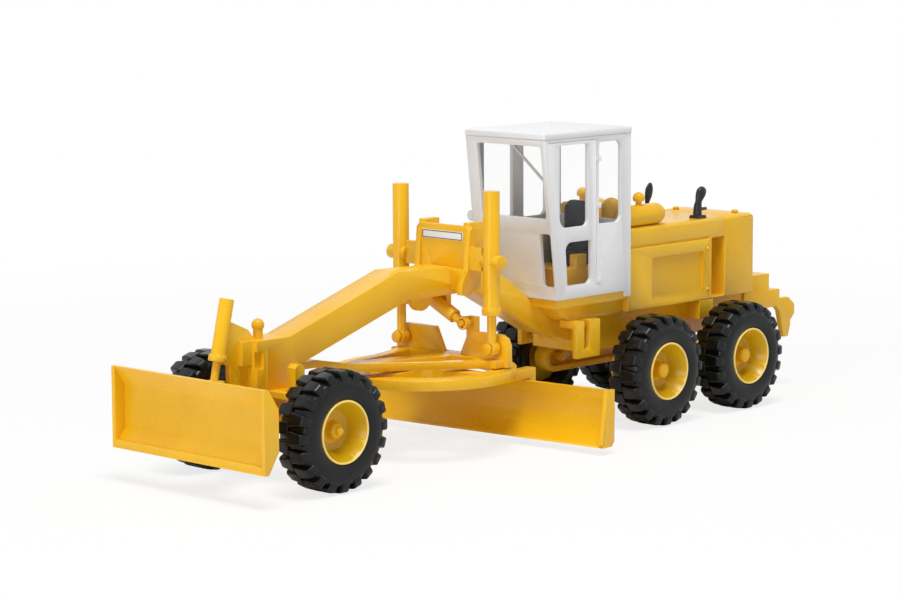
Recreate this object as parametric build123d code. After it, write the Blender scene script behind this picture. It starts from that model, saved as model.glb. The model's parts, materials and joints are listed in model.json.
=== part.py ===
from build123d import *
from math import cos, pi, radians, sin, sqrt, tan
import os

# Plastic scale model of a motor grader. Lengths are in millimetres.
# X runs forward from the front axle, Y to the machine's left, Z up from the ground.
# Each finished node is then moved along X so that the origin is under the middle of the model.

# Gaps and sunk ends that many pieces share
turning_gap = 0.05
fit_gap = 0.02
side_gap = 0.35
sink = 0.1
through = 1.0

# Wheels and axles
tyre_radius = 7.75
tyre_width = 5.13
lug_count = 20
lug_share = 0.46
lug_foot_spread = 1.25
lug_height = 0.62
sidewall_sides = 30
shoulder_drop = 0.28
shoulder_radius = 6.3
rim_radius = 4.04
rim_lip = 0.3
rim_inset = 0.08
dish_floor_radius = 2.5
dish_depth = 2.6
disc_thickness = 0.9
hub_radius = 1.3
hub_back = 0.3
hub_cap_radius = 1.05
hub_cap_inset = 0.8
hub_cap_thickness = 0.8
half_track_outside = 13.73
first_rear_axle = -62.62
tandem_spacing = 18.33
stub_radius = 0.7

# Front axle and steering
kingpin_y = 6.55
kingpin_radius = 0.5
axle_depth = 1.7
axle_length_x = 2.2
boss_radius = 1.05
boss_height = 2.6
yoke_thickness = 0.7
steering_arm = 3.6
arm_thickness = 0.7
arm_width = 1.0
tie_rod_radius = 0.3
tie_pin_radius = 0.4
tie_eye_radius = 0.75
bracket_half_width = 5.9
bracket_thickness = 0.8
bracket_length = 4.4
post_inner_y = 4.45
post_rear = -0.5
post_front = 1.1
post_top = 15.4
post_corner = 0.45

# Gooseneck boom
boom_half_width = 2.15
nose_front = 4.07
nose_rear = -3.0
nose_top = 18.3
nose_bottom = 11.9
neck_start = -1.6
neck_bottom_start = 14.5
crest_front = -21.0
crest_top = 24.6
crest_fall = 0.5
crest_bottom = 20.7
crest_bottom_front = -22.6
crest_rear = -38.3
cab_dip_x = -46.2
cab_dip_z = 18.5
crest_bottom_rear = -35.4
tail_bend_x = -48.5
tail_bend_bottom = 13.7
tail_x = -56.0
tail_top = 14.3
tail_bottom = 11.4
half_disc_x = -27.1
half_disc_radius = 2.0
half_disc_width = 0.8
nose_slot_rear = 2.96
nose_slot_bottom = 14.75
nose_slot_top = 16.96
nose_slot_depth = 0.5
nose_seam_x = 2.05
seam_width = 0.15
seam_depth = 0.12
towing_pin_x = 1.9
towing_ball_radius = 0.82
towing_neck_radius = 0.62
towing_pin_height = 2.5
nose_pad_length = 1.6
nose_pad_width = 0.8
nose_pad_height = 3.0

# Front plough blade and its cylinder
plough_front = 13.98
plough_half_width = 14.1
plough_top = 14.75
plough_bottom = 4.36
plough_fold_top = 12.3
plough_fold_bottom = 6.9
plough_hollow = 1.6
plough_thickness = 0.7
plough_end_depth = 2.36
plough_end_thickness = 0.6
plough_lip_height = 0.45
ram_top_x = 7.0
ram_top_z = 23.8
ram_foot_x = 9.45
ram_foot_z = 13.3
ram_barrel_length = 7.9
ram_engaged = 5.4
ram_bore_spare = 0.3
ram_barrel_radius = 0.92
ram_collar_radius = 1.15
ram_collar_height = 0.9
ram_rod_radius = 0.5
ram_lug_half_width = 1.1
ram_lug_front = 0.9
ram_lug_drop = 1.6
ram_lug_rise = 0.5
gusset_thickness = 0.9
gusset_front = 7.0
gusset_tail = 2.2
gusset_bottom = 6.8
gusset_head = 2.7
gusset_head_length = 1.2
plough_arm_gap = 0.15
plough_arm_thickness = 0.8
plough_arm_length = 2.0
plough_arm_rise = 0.4
plough_arm_height = 3.9
plough_beam_front = 1.6
plough_beam_half_width = 3.2
plough_beam_height = 2.2
plough_web_half_width = 0.5
plough_web_drop = 0.8
plough_rise = 1.6
plough_drop = 4.0

# Saddle bracket on the boom
saddle_front = -31.6
saddle_thickness = 0.8
saddle_half_width = 4.9
saddle_top = 29.8
saddle_corner = 0.6
saddle_lobe_inner = 3.5
saddle_lobe_height = 0.45
cheek_rear = -34.6
cheek_thickness = 0.9
cheek_bottom = 20.6
cheek_chin = 1.6
cheek_heel = 4.2
filler_step = 0.25
filler_front = 0.9
arm_bottom = 24.05
arm_top = 27.15
arm_end_y = 6.95
plate_width = 7.36
plate_height = 1.15
plate_thickness = 0.15
plate_centre_z = 28.4

# Lift cylinders
lift_x = -32.1
lift_y = 8.32
lift_pivot_z = 25.4
lift_top = 34.7
lift_bottom = 18.4
lift_barrel_radius = 1.1
lift_collar_radius = 1.3
lift_collar_height = 1.0
lift_boss_radius = 0.95
lift_boss_end = 10.2
lift_cap_height = 1.5
lift_rod_radius = 0.62
lift_rod_inside = 6.0
lift_eye_z = 13.9
lift_eye_radius = 0.95
lift_eye_width = 1.3
lift_pin_radius = 0.4
lift_pin_head_radius = 0.75
lift_pin_head = 0.4
lift_pin_head_gap = 0.15
open_pivot_gap = 0.2

# Drawbar and side cylinder
ball_x = -3.9
ball_z = 14.0
ball_radius = 0.95
socket_half_width = 1.5
socket_depth = 1.3
socket_below = 1.0
socket_above = 1.2
mouth_rear = 2.0
mouth_front = 0.3
mouth_half_width = 1.7
tongue_half_width = 0.7
tongue_start_half = 0.45
tongue_step_x = -7.3
tongue_step_z = 14.5
fork_x = -14.0
fork_top = 13.2
drawbar_top = 12.4
drawbar_flat_x = -30.0
drawbar_thickness = 1.0
arm_inner_rear = 6.3
arm_outer_rear = 8.5
ear_inner = 6.3
ear_outer = 9.6
ear_front = -31.4
ear_rear = -34.7
cross_plate_x = -33.1
cross_plate_thickness = 0.9
lug_top = 15.6
lug_outer = 10.2
lug_corner = 1.3
lug_corner_bevel = 0.43
lug_inner_slope = 1.6
gap_half_width = 1.6
side_lug_half_width = 0.8
side_anchor_y = -1.2
side_anchor_z = 19.2
side_eye_y = 3.6
side_eye_z = 16.9
side_x = -31.7
side_barrel_radius = 0.95
side_barrel_length = 3.6
side_barrel_back = 0.8
side_bore_start = 0.9
side_rod_start = 1.6
side_rod_radius = 0.6
side_eye_radius = 0.9
side_pin_radius = 0.4
side_eye_thickness = 0.7
hanger_half_width = 0.7
hanger_thickness = 0.9

# Circle and main blade
circle_x = -28.0
circle_radius = 12.2
circle_inner_radius = 9.2
circle_thickness = 1.4
circle_gap = 0.2
circle_pin_radius = 1.5
circle_hub_radius = 2.6
spoke_width = 2.4
blade_turn = 5.2
blade_half_length = 21.1
blade_offset = 9.9
blade_bottom = 1.0
blade_height = 7.6
blade_lean = 1.1
blade_hollow = 1.3
blade_thickness = 0.8
blade_end_thickness = 0.6
blade_end_depth = 2.6
blade_end_proud = 0.2
blade_end_corner = 0.6
leg_y = 7.6
leg_width = 1.5
leg_front = 7.0
leg_depth = 1.4
leg_foot = 1.8
leg_top_rise = 0.3

# Chassis and rear frame
chassis_half_width = 4.6
chassis_front = -54.6
chassis_bottom = 10.4
chassis_top = 15.4
chassis_rear = -90.3
platform_front = -46.6
platform_half_width = 6.9
platform_top = 18.55
platform_thickness = 1.1
plinth_half_width = 5.6
wedge_front = -47.6
wedge_rear = -50.5
rear_half_width = 5.0
rear_block_rear = -96.2
rear_block_top = 17.4
rear_beam_rear = -98.8
rear_beam_top = 14.85
rear_beam_bottom = 12.3
hitch_rear = -102.5
hitch_top = 13.4
hitch_thickness = 0.8
# Hitch plate edge, from the top down: distance ahead of its rear end, drop from its top
hitch_edge = [
    (1.5, 0.0),
    (0.0, 1.2),
    (0.0, 2.55),
    (1.0, 3.55),
    (1.0, 4.3),
    (1.55, 5.9),
    (2.55, 5.9),
]
tandem_thickness = 2.2
tandem_depth = 4.0
tandem_overhang = 1.7
tandem_wall = 0.8
tandem_web = 0.9
tandem_boss_wall = 0.6
tandem_shaft_radius = 1.6
tandem_shaft_rise = 2.6
step_front = -49.9
step_slot_front = -51.5
step_slot_rear = -52.7
step_rear = -54.8
step_bottom = 10.3
far_step_back = 4.8
step_bar = 1.2
step_thickness = 0.7
step_root_height = 1.0
step_box_front = -77.9
step_box_rear = -80.9
step_box_bottom = 12.7

# Cab
cab_half_width = 7.25
cab_bottom = 18.64
cab_front_bottom = -46.31
cab_front_top = -43.74
cab_rear = -61.69
cab_post_drop = 0.8
cab_post_length = 1.2
cab_height = 21.86
roof_thickness = 0.92
roof_side = 0.12
roof_end = 0.1
cab_wall = 0.6
glass_thickness = 0.3
glass_gap = 0.1
window_sill = 9.75
window_head = 0.85
door_window_front = -46.8
door_window_rear = -52.7
door_low_front = -47.95
door_low_lean = 0.45
door_low_rear = -53.35
door_low_sill = 1.8
door_low_height = 5.95
side_window_front = -54.9
side_window_rear = -59.6
# Window corner radii: lower front, upper front, upper rear, lower rear
door_window_radii = (1.5, 0.45, 0.45, 0.8)
door_low_radii = (0.4, 1.1, 0.3, 0.9)
side_window_radii = (0.4, 0.4, 1.0, 1.0)
windscreen_far = -5.3
windscreen_near = 6.4
windscreen_sill = 11.15
corner_window_inner = 4.9
corner_window_outer = 6.9
corner_window_height = 7.3
rear_window_half_width = 5.6
rear_window_radius = 0.8
front_window_radius = 0.4
door_seam_x = -54.45
door_seam_drop = 0.35
door_seam_rise = 1.6
floor_thickness = 0.6
seat_x = -57.4
seat_half_width = 2.2
seat_length = 4.2
seat_cushion_top = 24.2
seat_back_thickness = 1.2
seat_back_top = 30.9
seat_corner = 0.9
seat_plinth_front = -51.4
seat_plinth_rear = -60.2
seat_plinth_half_width = 3.7
seat_plinth_top = 22.1
seat_box_rear = -56.5
seat_box_length = 2.2
seat_box_gap = 0.2
seat_box_top = 23.9
console_x = -49.6
console_half_width = 1.1
console_half_length = 0.8
console_top = 26.9
column_rise = 1.4
column_back = 0.9
column_radius = 0.3
wheel_radius = 1.5
wheel_thickness = 0.35
wheel_lean = 0.5

# Engine cover
hood_front = -61.95
hood_half_width = 6.6
hood_top = 27.1
hood_edge = 0.7
slot_front = -80.6
slot_rear = -83.6
slot_depth = 2.6
slot_bottom = 15.75
slot_top = 24.2
groove_z = 24.2
groove_height = 0.3
groove_depth = 0.3
groove_end_gap = 0.5
recess_front = -67.3
recess_rear = -78.8
recess_bottom = 16.3
recess_slope = 1.1
recess_top = 22.4
recess_depth = 0.5
housing_rear = -90.3
canister_y = 5.2
canister_radius = 1.5
canister_front = -62.3
canister_rear = -69.3
inlet_x = -65.8
inlet_z = 31.0
inlet_radius = 0.85
inlet_stem_radius = 0.45
precleaner_x = -63.9
precleaner_y = 1.8
precleaner_radius = 1.4
precleaner_z = 29.6
stack_x = -79.4
stack_near_y = 5.2
stack_far_y = -4.0
stack_base_half = 0.9
stack_base_height = 0.5
stack_pipe_radius = 0.42
stack_head_radius = 0.62
stack_head_height = 2.1
stack_top = 31.6
stack_stub_radius = 0.28
stack_stub_z = 28.1
stack_stub_length = 1.6

filler_far_x = -86.0
filler_far_y = -4.5
filler_near_x = -88.2
filler_near_y = 4.7
filler_radius = 0.48
filler_height = 0.45

# Places worked out from the sizes
second_rear_axle = first_rear_axle - tandem_spacing
axle_z = tyre_radius
wheel_y = half_track_outside - tyre_width / 2
tyre_inner_y = half_track_outside - tyre_width
origin_shift = -(plough_front + hitch_rear) / 2
lift_rod_top = lift_top - lift_cap_height
drawbar_bottom = drawbar_top - drawbar_thickness
circle_top = drawbar_bottom - circle_gap
circle_bottom = circle_top - circle_thickness
blade_top = blade_bottom + blade_height
cab_roof_bottom = cab_bottom + cab_height
cab_roof_top = cab_roof_bottom + roof_thickness
window_bottom = cab_bottom + window_sill
window_top = cab_roof_bottom - window_head
canister_z = hood_top + canister_radius - fit_gap
crest_slope = crest_fall / (crest_front - crest_rear)
saddle_seat = crest_top - crest_slope * (crest_front - saddle_front) + fit_gap
low = (Align.CENTER, Align.CENTER, Align.MIN)


def box(x0, x1, y0, y1, z0, z1):
    size = (abs(x1 - x0), abs(y1 - y0), abs(z1 - z0))
    middle = ((x0 + x1) / 2, (y0 + y1) / 2, (z0 + z1) / 2)
    return Pos(*middle) * Box(*size)


def side_plate(points, y0, y1):
    wire = Wire.make_polygon([(x, y0, z) for x, z in points])
    return extrude(Face(wire), amount=y1 - y0, dir=(0, 1, 0))


def cross_plate(points, x0, x1):
    wire = Wire.make_polygon([(x0, y, z) for y, z in points])
    return extrude(Face(wire), amount=x1 - x0, dir=(1, 0, 0))


def flat_plate(points, z0, z1):
    wire = Wire.make_polygon([(x, y, z0) for x, y in points])
    return extrude(Face(wire), amount=z1 - z0, dir=(0, 0, 1))


def bar(start, end, radius):
    start = Vector(*start)
    run = Vector(*end) - start
    return Plane(origin=start, z_dir=run) * Cylinder(radius, run.length, align=low)


def along_x(x0, x1, y, z, radius):
    return bar((x0, y, z), (x1, y, z), radius)


def along_y(y0, y1, x, z, radius):
    return bar((x, y0, z), (x, y1, z), radius)


def upright(x, y, z0, z1, radius):
    return Pos(x, y, z0) * Cylinder(radius, z1 - z0, align=low)


def mirrored(shape):
    return mirror(shape, about=Plane.XZ)


def both_sides(shape):
    return shape + mirrored(shape)


# Window holes: each corner is a place along the wall, a height and a radius
def rounded_cut(corners, place, direction, amount):
    face = Face(Wire.make_polygon([place(along, z) for along, z, radius in corners]))
    for along, z, radius in corners:
        corner = face.vertices().sort_by_distance(place(along, z))[0]
        face = face.fillet_2d(radius, [corner])
    return extrude(face, amount=amount, dir=direction)


def side_window(corners):
    y = cab_half_width - cab_wall - through
    return rounded_cut(corners, lambda x, z: (x, y, z), (0, 1, 0), cab_wall + 2 * through)


def end_window(corners, x, depth):
    return rounded_cut(corners, lambda y, z: (x, y, z), (1, 0, 0), depth)


# Tyres and rims
def lug_outline(first_angle):
    half = pi / lug_count * lug_share
    outer = tyre_radius / cos(half)
    root = tyre_radius - lug_height
    foot = half * lug_foot_spread
    points = []
    for k in range(lug_count):
        middle = first_angle + 2 * pi * k / lug_count
        for radius, angle in ((root, -foot), (outer, -half), (outer, half), (root, foot)):
            points.append((radius * sin(middle + angle), 0, -radius * cos(middle + angle)))
    return Face(Wire.make_polygon(points))


def round_outline(radius, y):
    angles = [2 * pi * k / sidewall_sides for k in range(sidewall_sides)]
    return Wire.make_polygon([(radius * sin(a), y, -radius * cos(a)) for a in angles])


def tyre():
    tread_half = tyre_width / 2 - shoulder_drop
    outer = extrude(lug_outline(0), amount=tread_half, dir=(0, 1, 0))
    inner = extrude(lug_outline(pi / lug_count), amount=tread_half, dir=(0, -1, 0))
    root = tyre_radius - lug_height - sink
    shape = outer + inner
    for side in (1, -1):
        tread_edge = round_outline(root, side * tread_half)
        sidewall = round_outline(shoulder_radius, side * tyre_width / 2)
        shape += Solid.make_loft([tread_edge, sidewall], ruled=True)
    bore_radius = (rim_radius + fit_gap) / cos(pi / sidewall_sides)
    bore = extrude(Face(round_outline(bore_radius, -tyre_width)), amount=2 * tyre_width, dir=(0, 1, 0))
    return shape - bore


def rim():
    half = tyre_width / 2 - rim_inset
    lip = rim_radius - rim_lip
    floor_y = half - dish_depth
    back = floor_y - disc_thickness
    bore = stub_radius + turning_gap
    cap = half - hub_cap_inset
    points = (
        # radius, place along the axle
        (bore, back - hub_back),
        (hub_radius, back - hub_back),
        (hub_radius, back),
        (rim_radius, back),
        (rim_radius, half),
        (lip, half),
        (dish_floor_radius, floor_y),
        (hub_cap_radius, floor_y),
        (hub_cap_radius, cap),
        (0, cap),
        (0, cap - hub_cap_thickness),
        (bore, cap - hub_cap_thickness),
    )
    wire = Wire.make_polygon([(r, y, 0) for r, y in points])
    return revolve(Face(wire), axis=Axis.Y, revolution_arc=360)


def stub_end():
    cap = wheel_y + tyre_width / 2 - rim_inset - hub_cap_inset
    return cap - hub_cap_thickness - turning_gap


def place_wheel(shape, x, side):
    placed = shape if side > 0 else mirrored(shape)
    return Pos(x, side * wheel_y, axle_z) * placed


# Front axle, knuckles and tie rod
def front_axle():
    beam_low = axle_z - axle_depth / 2
    beam_high = axle_z + axle_depth / 2
    half_x = axle_length_x / 2
    beam = box(-half_x, half_x, -kingpin_y, kingpin_y, beam_low, beam_high)
    plate_low = nose_bottom - bracket_thickness
    half_length = bracket_length / 2
    plate = box(-half_length, half_length, -bracket_half_width, bracket_half_width, plate_low, nose_bottom)
    neck = box(-half_x, half_x, -boom_half_width, boom_half_width, beam_high - sink, plate_low + sink)
    post = side_plate(
        [
            (post_rear, plate_low),
            (post_front, plate_low),
            (post_front, post_top - post_corner),
            (post_front - post_corner, post_top),
            (post_rear + post_corner, post_top),
            (post_rear, post_top - post_corner),
        ],
        post_inner_y,
        bracket_half_width,
    )
    boss = Pos(0, kingpin_y, axle_z) * Cylinder(boss_radius, boss_height)
    hole = Pos(0, kingpin_y, axle_z) * Cylinder(kingpin_radius + turning_gap, boss_height + through)
    return beam + plate + neck + both_sides(boss + post) - both_sides(hole)


def knuckle():
    yoke_low = axle_z - boss_height / 2 - turning_gap
    yoke_high = axle_z + boss_height / 2 + turning_gap
    web_out = tyre_inner_y - side_gap
    web_in = kingpin_y + boss_radius + turning_gap
    half = boss_radius
    shape = box(-half, half, web_in, web_out, yoke_low - yoke_thickness, yoke_high + yoke_thickness)
    for z0, z1 in ((yoke_low - yoke_thickness, yoke_low), (yoke_high, yoke_high + yoke_thickness)):
        shape += box(-half, half, kingpin_y, web_in, z0, z1)
        shape += upright(0, kingpin_y, z0, z1, half)
    arm_low = yoke_low - yoke_thickness
    arm_high = arm_low + arm_thickness
    shape += upright(0, kingpin_y, arm_low, yoke_high + yoke_thickness, kingpin_radius)
    shape += along_y(web_in, stub_end(), 0, axle_z, stub_radius)
    shape += box(-steering_arm, 0, kingpin_y - arm_width / 2, kingpin_y + arm_width / 2, arm_low, arm_high)
    return shape + upright(-steering_arm, kingpin_y, arm_low, arm_high + arm_thickness, tie_pin_radius)


def tie_rod():
    eye_low = axle_z - boss_height / 2 - yoke_thickness + arm_thickness
    eye_high = eye_low + arm_thickness - turning_gap
    middle_z = (eye_low + eye_high) / 2
    eye = upright(-steering_arm, kingpin_y, eye_low, eye_high, tie_eye_radius)
    hole_radius = tie_pin_radius + turning_gap
    hole = upright(-steering_arm, kingpin_y, eye_low - through, eye_high + through, hole_radius)
    rod = along_y(-kingpin_y, kingpin_y, -steering_arm, middle_z, tie_rod_radius)
    return rod + both_sides(eye) - both_sides(hole)


# Boom, nose and gusset
def ram_direction():
    run = Vector(ram_foot_x - ram_top_x, 0, ram_foot_z - ram_top_z)
    return run.normalized()


def ram_point(distance):
    return Vector(ram_top_x, 0, ram_top_z) + ram_direction() * distance


def boom_body():
    outline = [
        (nose_front, nose_bottom),
        (nose_front, nose_top),
        (neck_start, nose_top),
        (crest_front, crest_top),
        (crest_rear, crest_top - crest_fall),
        (cab_dip_x, cab_dip_z),
        (tail_x, tail_top),
        (tail_x, tail_bottom),
        (tail_bend_x, tail_bend_bottom),
        (crest_bottom_rear, crest_bottom),
        (crest_bottom_front, crest_bottom),
        (nose_rear, neck_bottom_start),
        (nose_rear, nose_bottom),
    ]
    return side_plate(outline, -boom_half_width, boom_half_width)


def towing_pin():
    ball_z0 = nose_top + towing_pin_height - towing_ball_radius
    neck = upright(towing_pin_x, 0, nose_top - sink, ball_z0, towing_neck_radius)
    return neck + Pos(towing_pin_x, 0, ball_z0) * Sphere(towing_ball_radius)


def gusset():
    half = gusset_thickness / 2
    head = nose_top + gusset_head
    tail = gusset_front - gusset_tail
    root = nose_front - sink
    outline = [
        (towing_pin_x + towing_ball_radius, nose_top - sink),
        (root, nose_top + gusset_head / 2),
        (ram_top_x, head),
        (ram_top_x + gusset_head_length, head),
        (gusset_front + gusset_head_length, nose_top - gusset_head),
        (gusset_front, nose_top - gusset_head),
        (gusset_front, gusset_bottom),
        (tail, gusset_bottom),
        (tail, nose_bottom),
        (root, nose_bottom),
        (root, nose_top - sink),
    ]
    clear = bar(ram_point(-through), ram_point(ram_barrel_length + through), ram_barrel_radius + fit_gap)
    collar_start = ram_point(ram_barrel_length - ram_collar_height - fit_gap)
    collar = bar(collar_start, ram_point(ram_barrel_length + through), ram_collar_radius + fit_gap)
    return side_plate(outline, -half, half) - clear - collar


def ball_socket():
    low_z = ball_z - socket_below
    high_z = ball_z + socket_above
    shape = box(ball_x - socket_depth, nose_rear, -socket_half_width, socket_half_width, low_z, high_z)
    shape -= Pos(ball_x, 0, ball_z) * Sphere(ball_radius + turning_gap)
    mouth_high = ball_z + ball_radius
    mouth_low = low_z - through
    rear = ball_x - mouth_rear
    return shape - box(rear, ball_x - mouth_front, -mouth_half_width, mouth_half_width, mouth_low, mouth_high)


def side_hanger():
    rear = side_x - side_barrel_radius - hanger_thickness - sink
    front = rear + hanger_thickness
    low_z = side_anchor_z - hanger_half_width
    left = side_anchor_y + hanger_half_width
    right = side_anchor_y - hanger_half_width
    shape = box(rear, front, right, left, low_z, crest_bottom + sink)
    return shape + along_x(front - sink, side_x, side_anchor_y, side_anchor_z, side_pin_radius)


def main_boom():
    room = ball_radius + 2 * turning_gap
    shape = boom_body() - box(ball_x - room, ball_x + room, -room, room, ball_z - room, ball_z + room)
    side = boom_half_width
    slot_in = side - nose_slot_depth
    seam_in = side - seam_depth
    out = side + through
    slot = box(nose_slot_rear, nose_front + through, slot_in, out, nose_slot_bottom, nose_slot_top)
    seam = box(nose_seam_x, nose_seam_x + seam_width, seam_in, out, 0, nose_top - through)
    shape -= both_sides(slot + seam)
    shape += Pos(half_disc_x, 0, crest_bottom) * Rot(90, 0, 0) * Cylinder(half_disc_radius, half_disc_width)
    half = gusset_thickness / 2
    pad_low = nose_top - nose_pad_height
    pad = box(nose_front, nose_front + nose_pad_length, half, half + nose_pad_width, pad_low, nose_top)
    return shape + towing_pin() + both_sides(pad) + side_hanger() + gusset() + ball_socket()


# Front plough blade
def plough_blade():
    face_x = plough_front - plough_hollow
    front = [
        (plough_front, plough_top),
        (face_x, plough_fold_top),
        (face_x, plough_fold_bottom),
        (plough_front, plough_bottom),
    ]
    back = [(x - plough_thickness, z) for x, z in reversed(front)]
    plate = side_plate(front + back, -plough_half_width, plough_half_width)
    end = side_plate(
        [
            (plough_front, plough_bottom),
            (plough_front, plough_top),
            (plough_front - plough_end_depth, plough_fold_top),
            (plough_front - plough_end_depth, plough_fold_bottom),
        ],
        plough_half_width - plough_end_thickness,
        plough_half_width,
    )
    lip_back = plough_front - plough_thickness
    lip_top = plough_bottom + plough_lip_height
    lip = box(lip_back, plough_front, -plough_half_width, plough_half_width, plough_bottom, lip_top)
    return plate + both_sides(end) + lip


def plough_frame():
    back = plough_front - plough_hollow - plough_thickness
    lug_low = ram_foot_z - ram_lug_drop
    width = ram_lug_half_width
    lug = box(ram_foot_x - ram_lug_front, back, -width, width, lug_low, ram_foot_z + ram_lug_rise)
    rod = bar(ram_point(ram_barrel_length - ram_engaged), (ram_foot_x, 0, ram_foot_z), ram_rod_radius)
    arm_inner = gusset_thickness / 2 + plough_arm_gap
    arm_low = plough_fold_bottom + plough_arm_rise
    arm_high = arm_low + plough_arm_height
    arm_outer = arm_inner + plough_arm_thickness
    arm = box(gusset_front - plough_arm_length, back, arm_inner, arm_outer, arm_low, arm_high)
    beam_x = gusset_front + plough_beam_front
    half = plough_beam_half_width
    beam = box(beam_x, back, -half, half, arm_low, arm_low + plough_beam_height)
    web_high = ram_foot_z - plough_web_drop
    web = box(beam_x, back, -plough_web_half_width, plough_web_half_width, arm_low, web_high)
    return lug + rod + both_sides(arm) + beam + web


def ram_barrel():
    collar_start = ram_barrel_length - ram_collar_height
    shape = bar(ram_point(0), ram_point(collar_start), ram_barrel_radius)
    shape += bar(ram_point(collar_start), ram_point(ram_barrel_length), ram_collar_radius)
    bore_start = ram_barrel_length - ram_engaged - plough_rise - ram_bore_spare
    bore_end = ram_point(ram_barrel_length + through)
    return shape - bar(ram_point(bore_start), bore_end, ram_rod_radius + turning_gap)


# Saddle bracket
def saddle_cheek():
    outline = [
        (saddle_front, saddle_top - saddle_corner),
        (saddle_front - saddle_corner, saddle_top),
        (cheek_rear, saddle_top - saddle_corner),
        (cheek_rear, cheek_bottom + cheek_heel),
        (cheek_rear + cheek_chin, cheek_bottom + cheek_chin),
        (saddle_front, cheek_bottom),
        (saddle_front + cheek_chin, cheek_bottom + filler_step),
        (saddle_front + cheek_chin, cheek_bottom + cheek_chin),
        (saddle_front + filler_front / 2, arm_bottom),
    ]
    return side_plate(outline, saddle_half_width - cheek_thickness, saddle_half_width)


def saddle_bracket():
    rear = saddle_front - saddle_thickness
    wide = saddle_half_width
    plate = cross_plate(
        [
            (-wide, arm_bottom),
            (wide, arm_bottom),
            (wide, saddle_top - saddle_corner),
            (wide - saddle_corner, saddle_top),
            (-wide + saddle_corner, saddle_top),
            (-wide, saddle_top - saddle_corner),
        ],
        rear,
        saddle_front,
    )
    lobe_front = saddle_front - filler_step
    lobe_top = saddle_top + saddle_lobe_height
    inside = wide - filler_step
    deck_top = saddle_top - saddle_corner
    lobe = box(cheek_rear, lobe_front, saddle_lobe_inner, inside, deck_top, lobe_top)
    filler_rear = cheek_rear + saddle_corner
    filler_low = crest_bottom + saddle_corner
    filler_inner = boom_half_width - sink
    filler_end = saddle_front + filler_front
    filler = box(filler_rear, filler_end, filler_inner, inside, filler_low, arm_bottom)
    top = box(cheek_rear, saddle_front, -inside, inside, deck_top - saddle_thickness, deck_top)
    base = box(cheek_rear, saddle_front, -inside, inside, saddle_seat, crest_top + saddle_thickness)
    arm = box(rear, saddle_front, inside, arm_end_y, arm_bottom, arm_top)
    shape = plate + top + base + both_sides(saddle_cheek() + lobe + filler + arm)
    room = boom_half_width + fit_gap
    ahead = saddle_front + cheek_chin + through
    return shape - box(cheek_rear - through, ahead, -room, room, crest_bottom - through, saddle_seat)


def number_plate():
    half = plate_width / 2
    low_z = plate_centre_z - plate_height / 2
    return box(saddle_front, saddle_front + plate_thickness, -half, half, low_z, low_z + plate_height)


# Lift cylinders
def lift_barrel():
    shape = upright(lift_x, lift_y, lift_bottom, lift_top, lift_barrel_radius)
    shape += upright(lift_x, lift_y, lift_bottom, lift_bottom + lift_collar_height, lift_collar_radius)
    shape += along_y(arm_end_y + fit_gap, lift_boss_end, lift_x, lift_pivot_z, lift_boss_radius)
    return shape - upright(lift_x, lift_y, lift_bottom - through, lift_rod_top, lift_rod_radius + turning_gap)


def lift_rod():
    half = lift_eye_width / 2
    rod_low = lift_eye_z + lift_pin_radius + open_pivot_gap
    shape = upright(lift_x, lift_y, rod_low, lift_rod_top - lift_rod_inside, lift_rod_radius)
    shape += along_x(lift_x - half, lift_x + half, lift_y, lift_eye_z, lift_eye_radius)
    hole_radius = lift_pin_radius + open_pivot_gap
    return shape - along_x(lift_x - through, lift_x + through, lift_y, lift_eye_z, hole_radius)


# Drawbar
def drawbar_profile(half_width):
    top = [
        (ball_x - mouth_front, ball_z + tongue_start_half),
        (tongue_step_x, tongue_step_z),
        (fork_x, fork_top),
        (drawbar_flat_x, drawbar_top),
        (ear_rear, drawbar_top),
    ]
    under = [(x, z - drawbar_thickness) for x, z in reversed(top[1:])]
    start = [(ball_x - mouth_front, ball_z - tongue_start_half)]
    return side_plate(top + under + start, -half_width, half_width)


def drawbar_frame():
    front = fork_x + tongue_half_width
    half = [
        (ball_x - mouth_front, tongue_half_width),
        (front, tongue_half_width),
        (ear_front, arm_outer_rear),
        (ear_rear, arm_outer_rear),
    ]
    low_z = drawbar_bottom - through
    high_z = ball_z + through
    plate = flat_plate(half + [(x, -y) for x, y in reversed(half)], low_z, high_z)
    strip = gap_half_width
    hole_front = front + (ear_front - front) * strip / arm_inner_rear
    corners = [(hole_front, strip), (ear_front, arm_inner_rear), (ear_front, strip)]
    hole = flat_plate(corners, low_z - through, high_z + through)
    return (plate - both_sides(hole)) & drawbar_profile(lug_outer)


def lug_plates():
    half = gap_half_width
    near = [
        (lug_outer, drawbar_bottom),
        (lug_outer, lug_top - lug_corner),
        (lug_outer - lug_corner_bevel, lug_top - lug_corner_bevel),
        (lug_outer - lug_corner, lug_top),
        (half + lug_inner_slope, lug_top),
        (half, drawbar_top),
    ]
    far = [(-y, z) for y, z in reversed(near)]
    return cross_plate(near + far, cross_plate_x - cross_plate_thickness, cross_plate_x)


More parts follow.
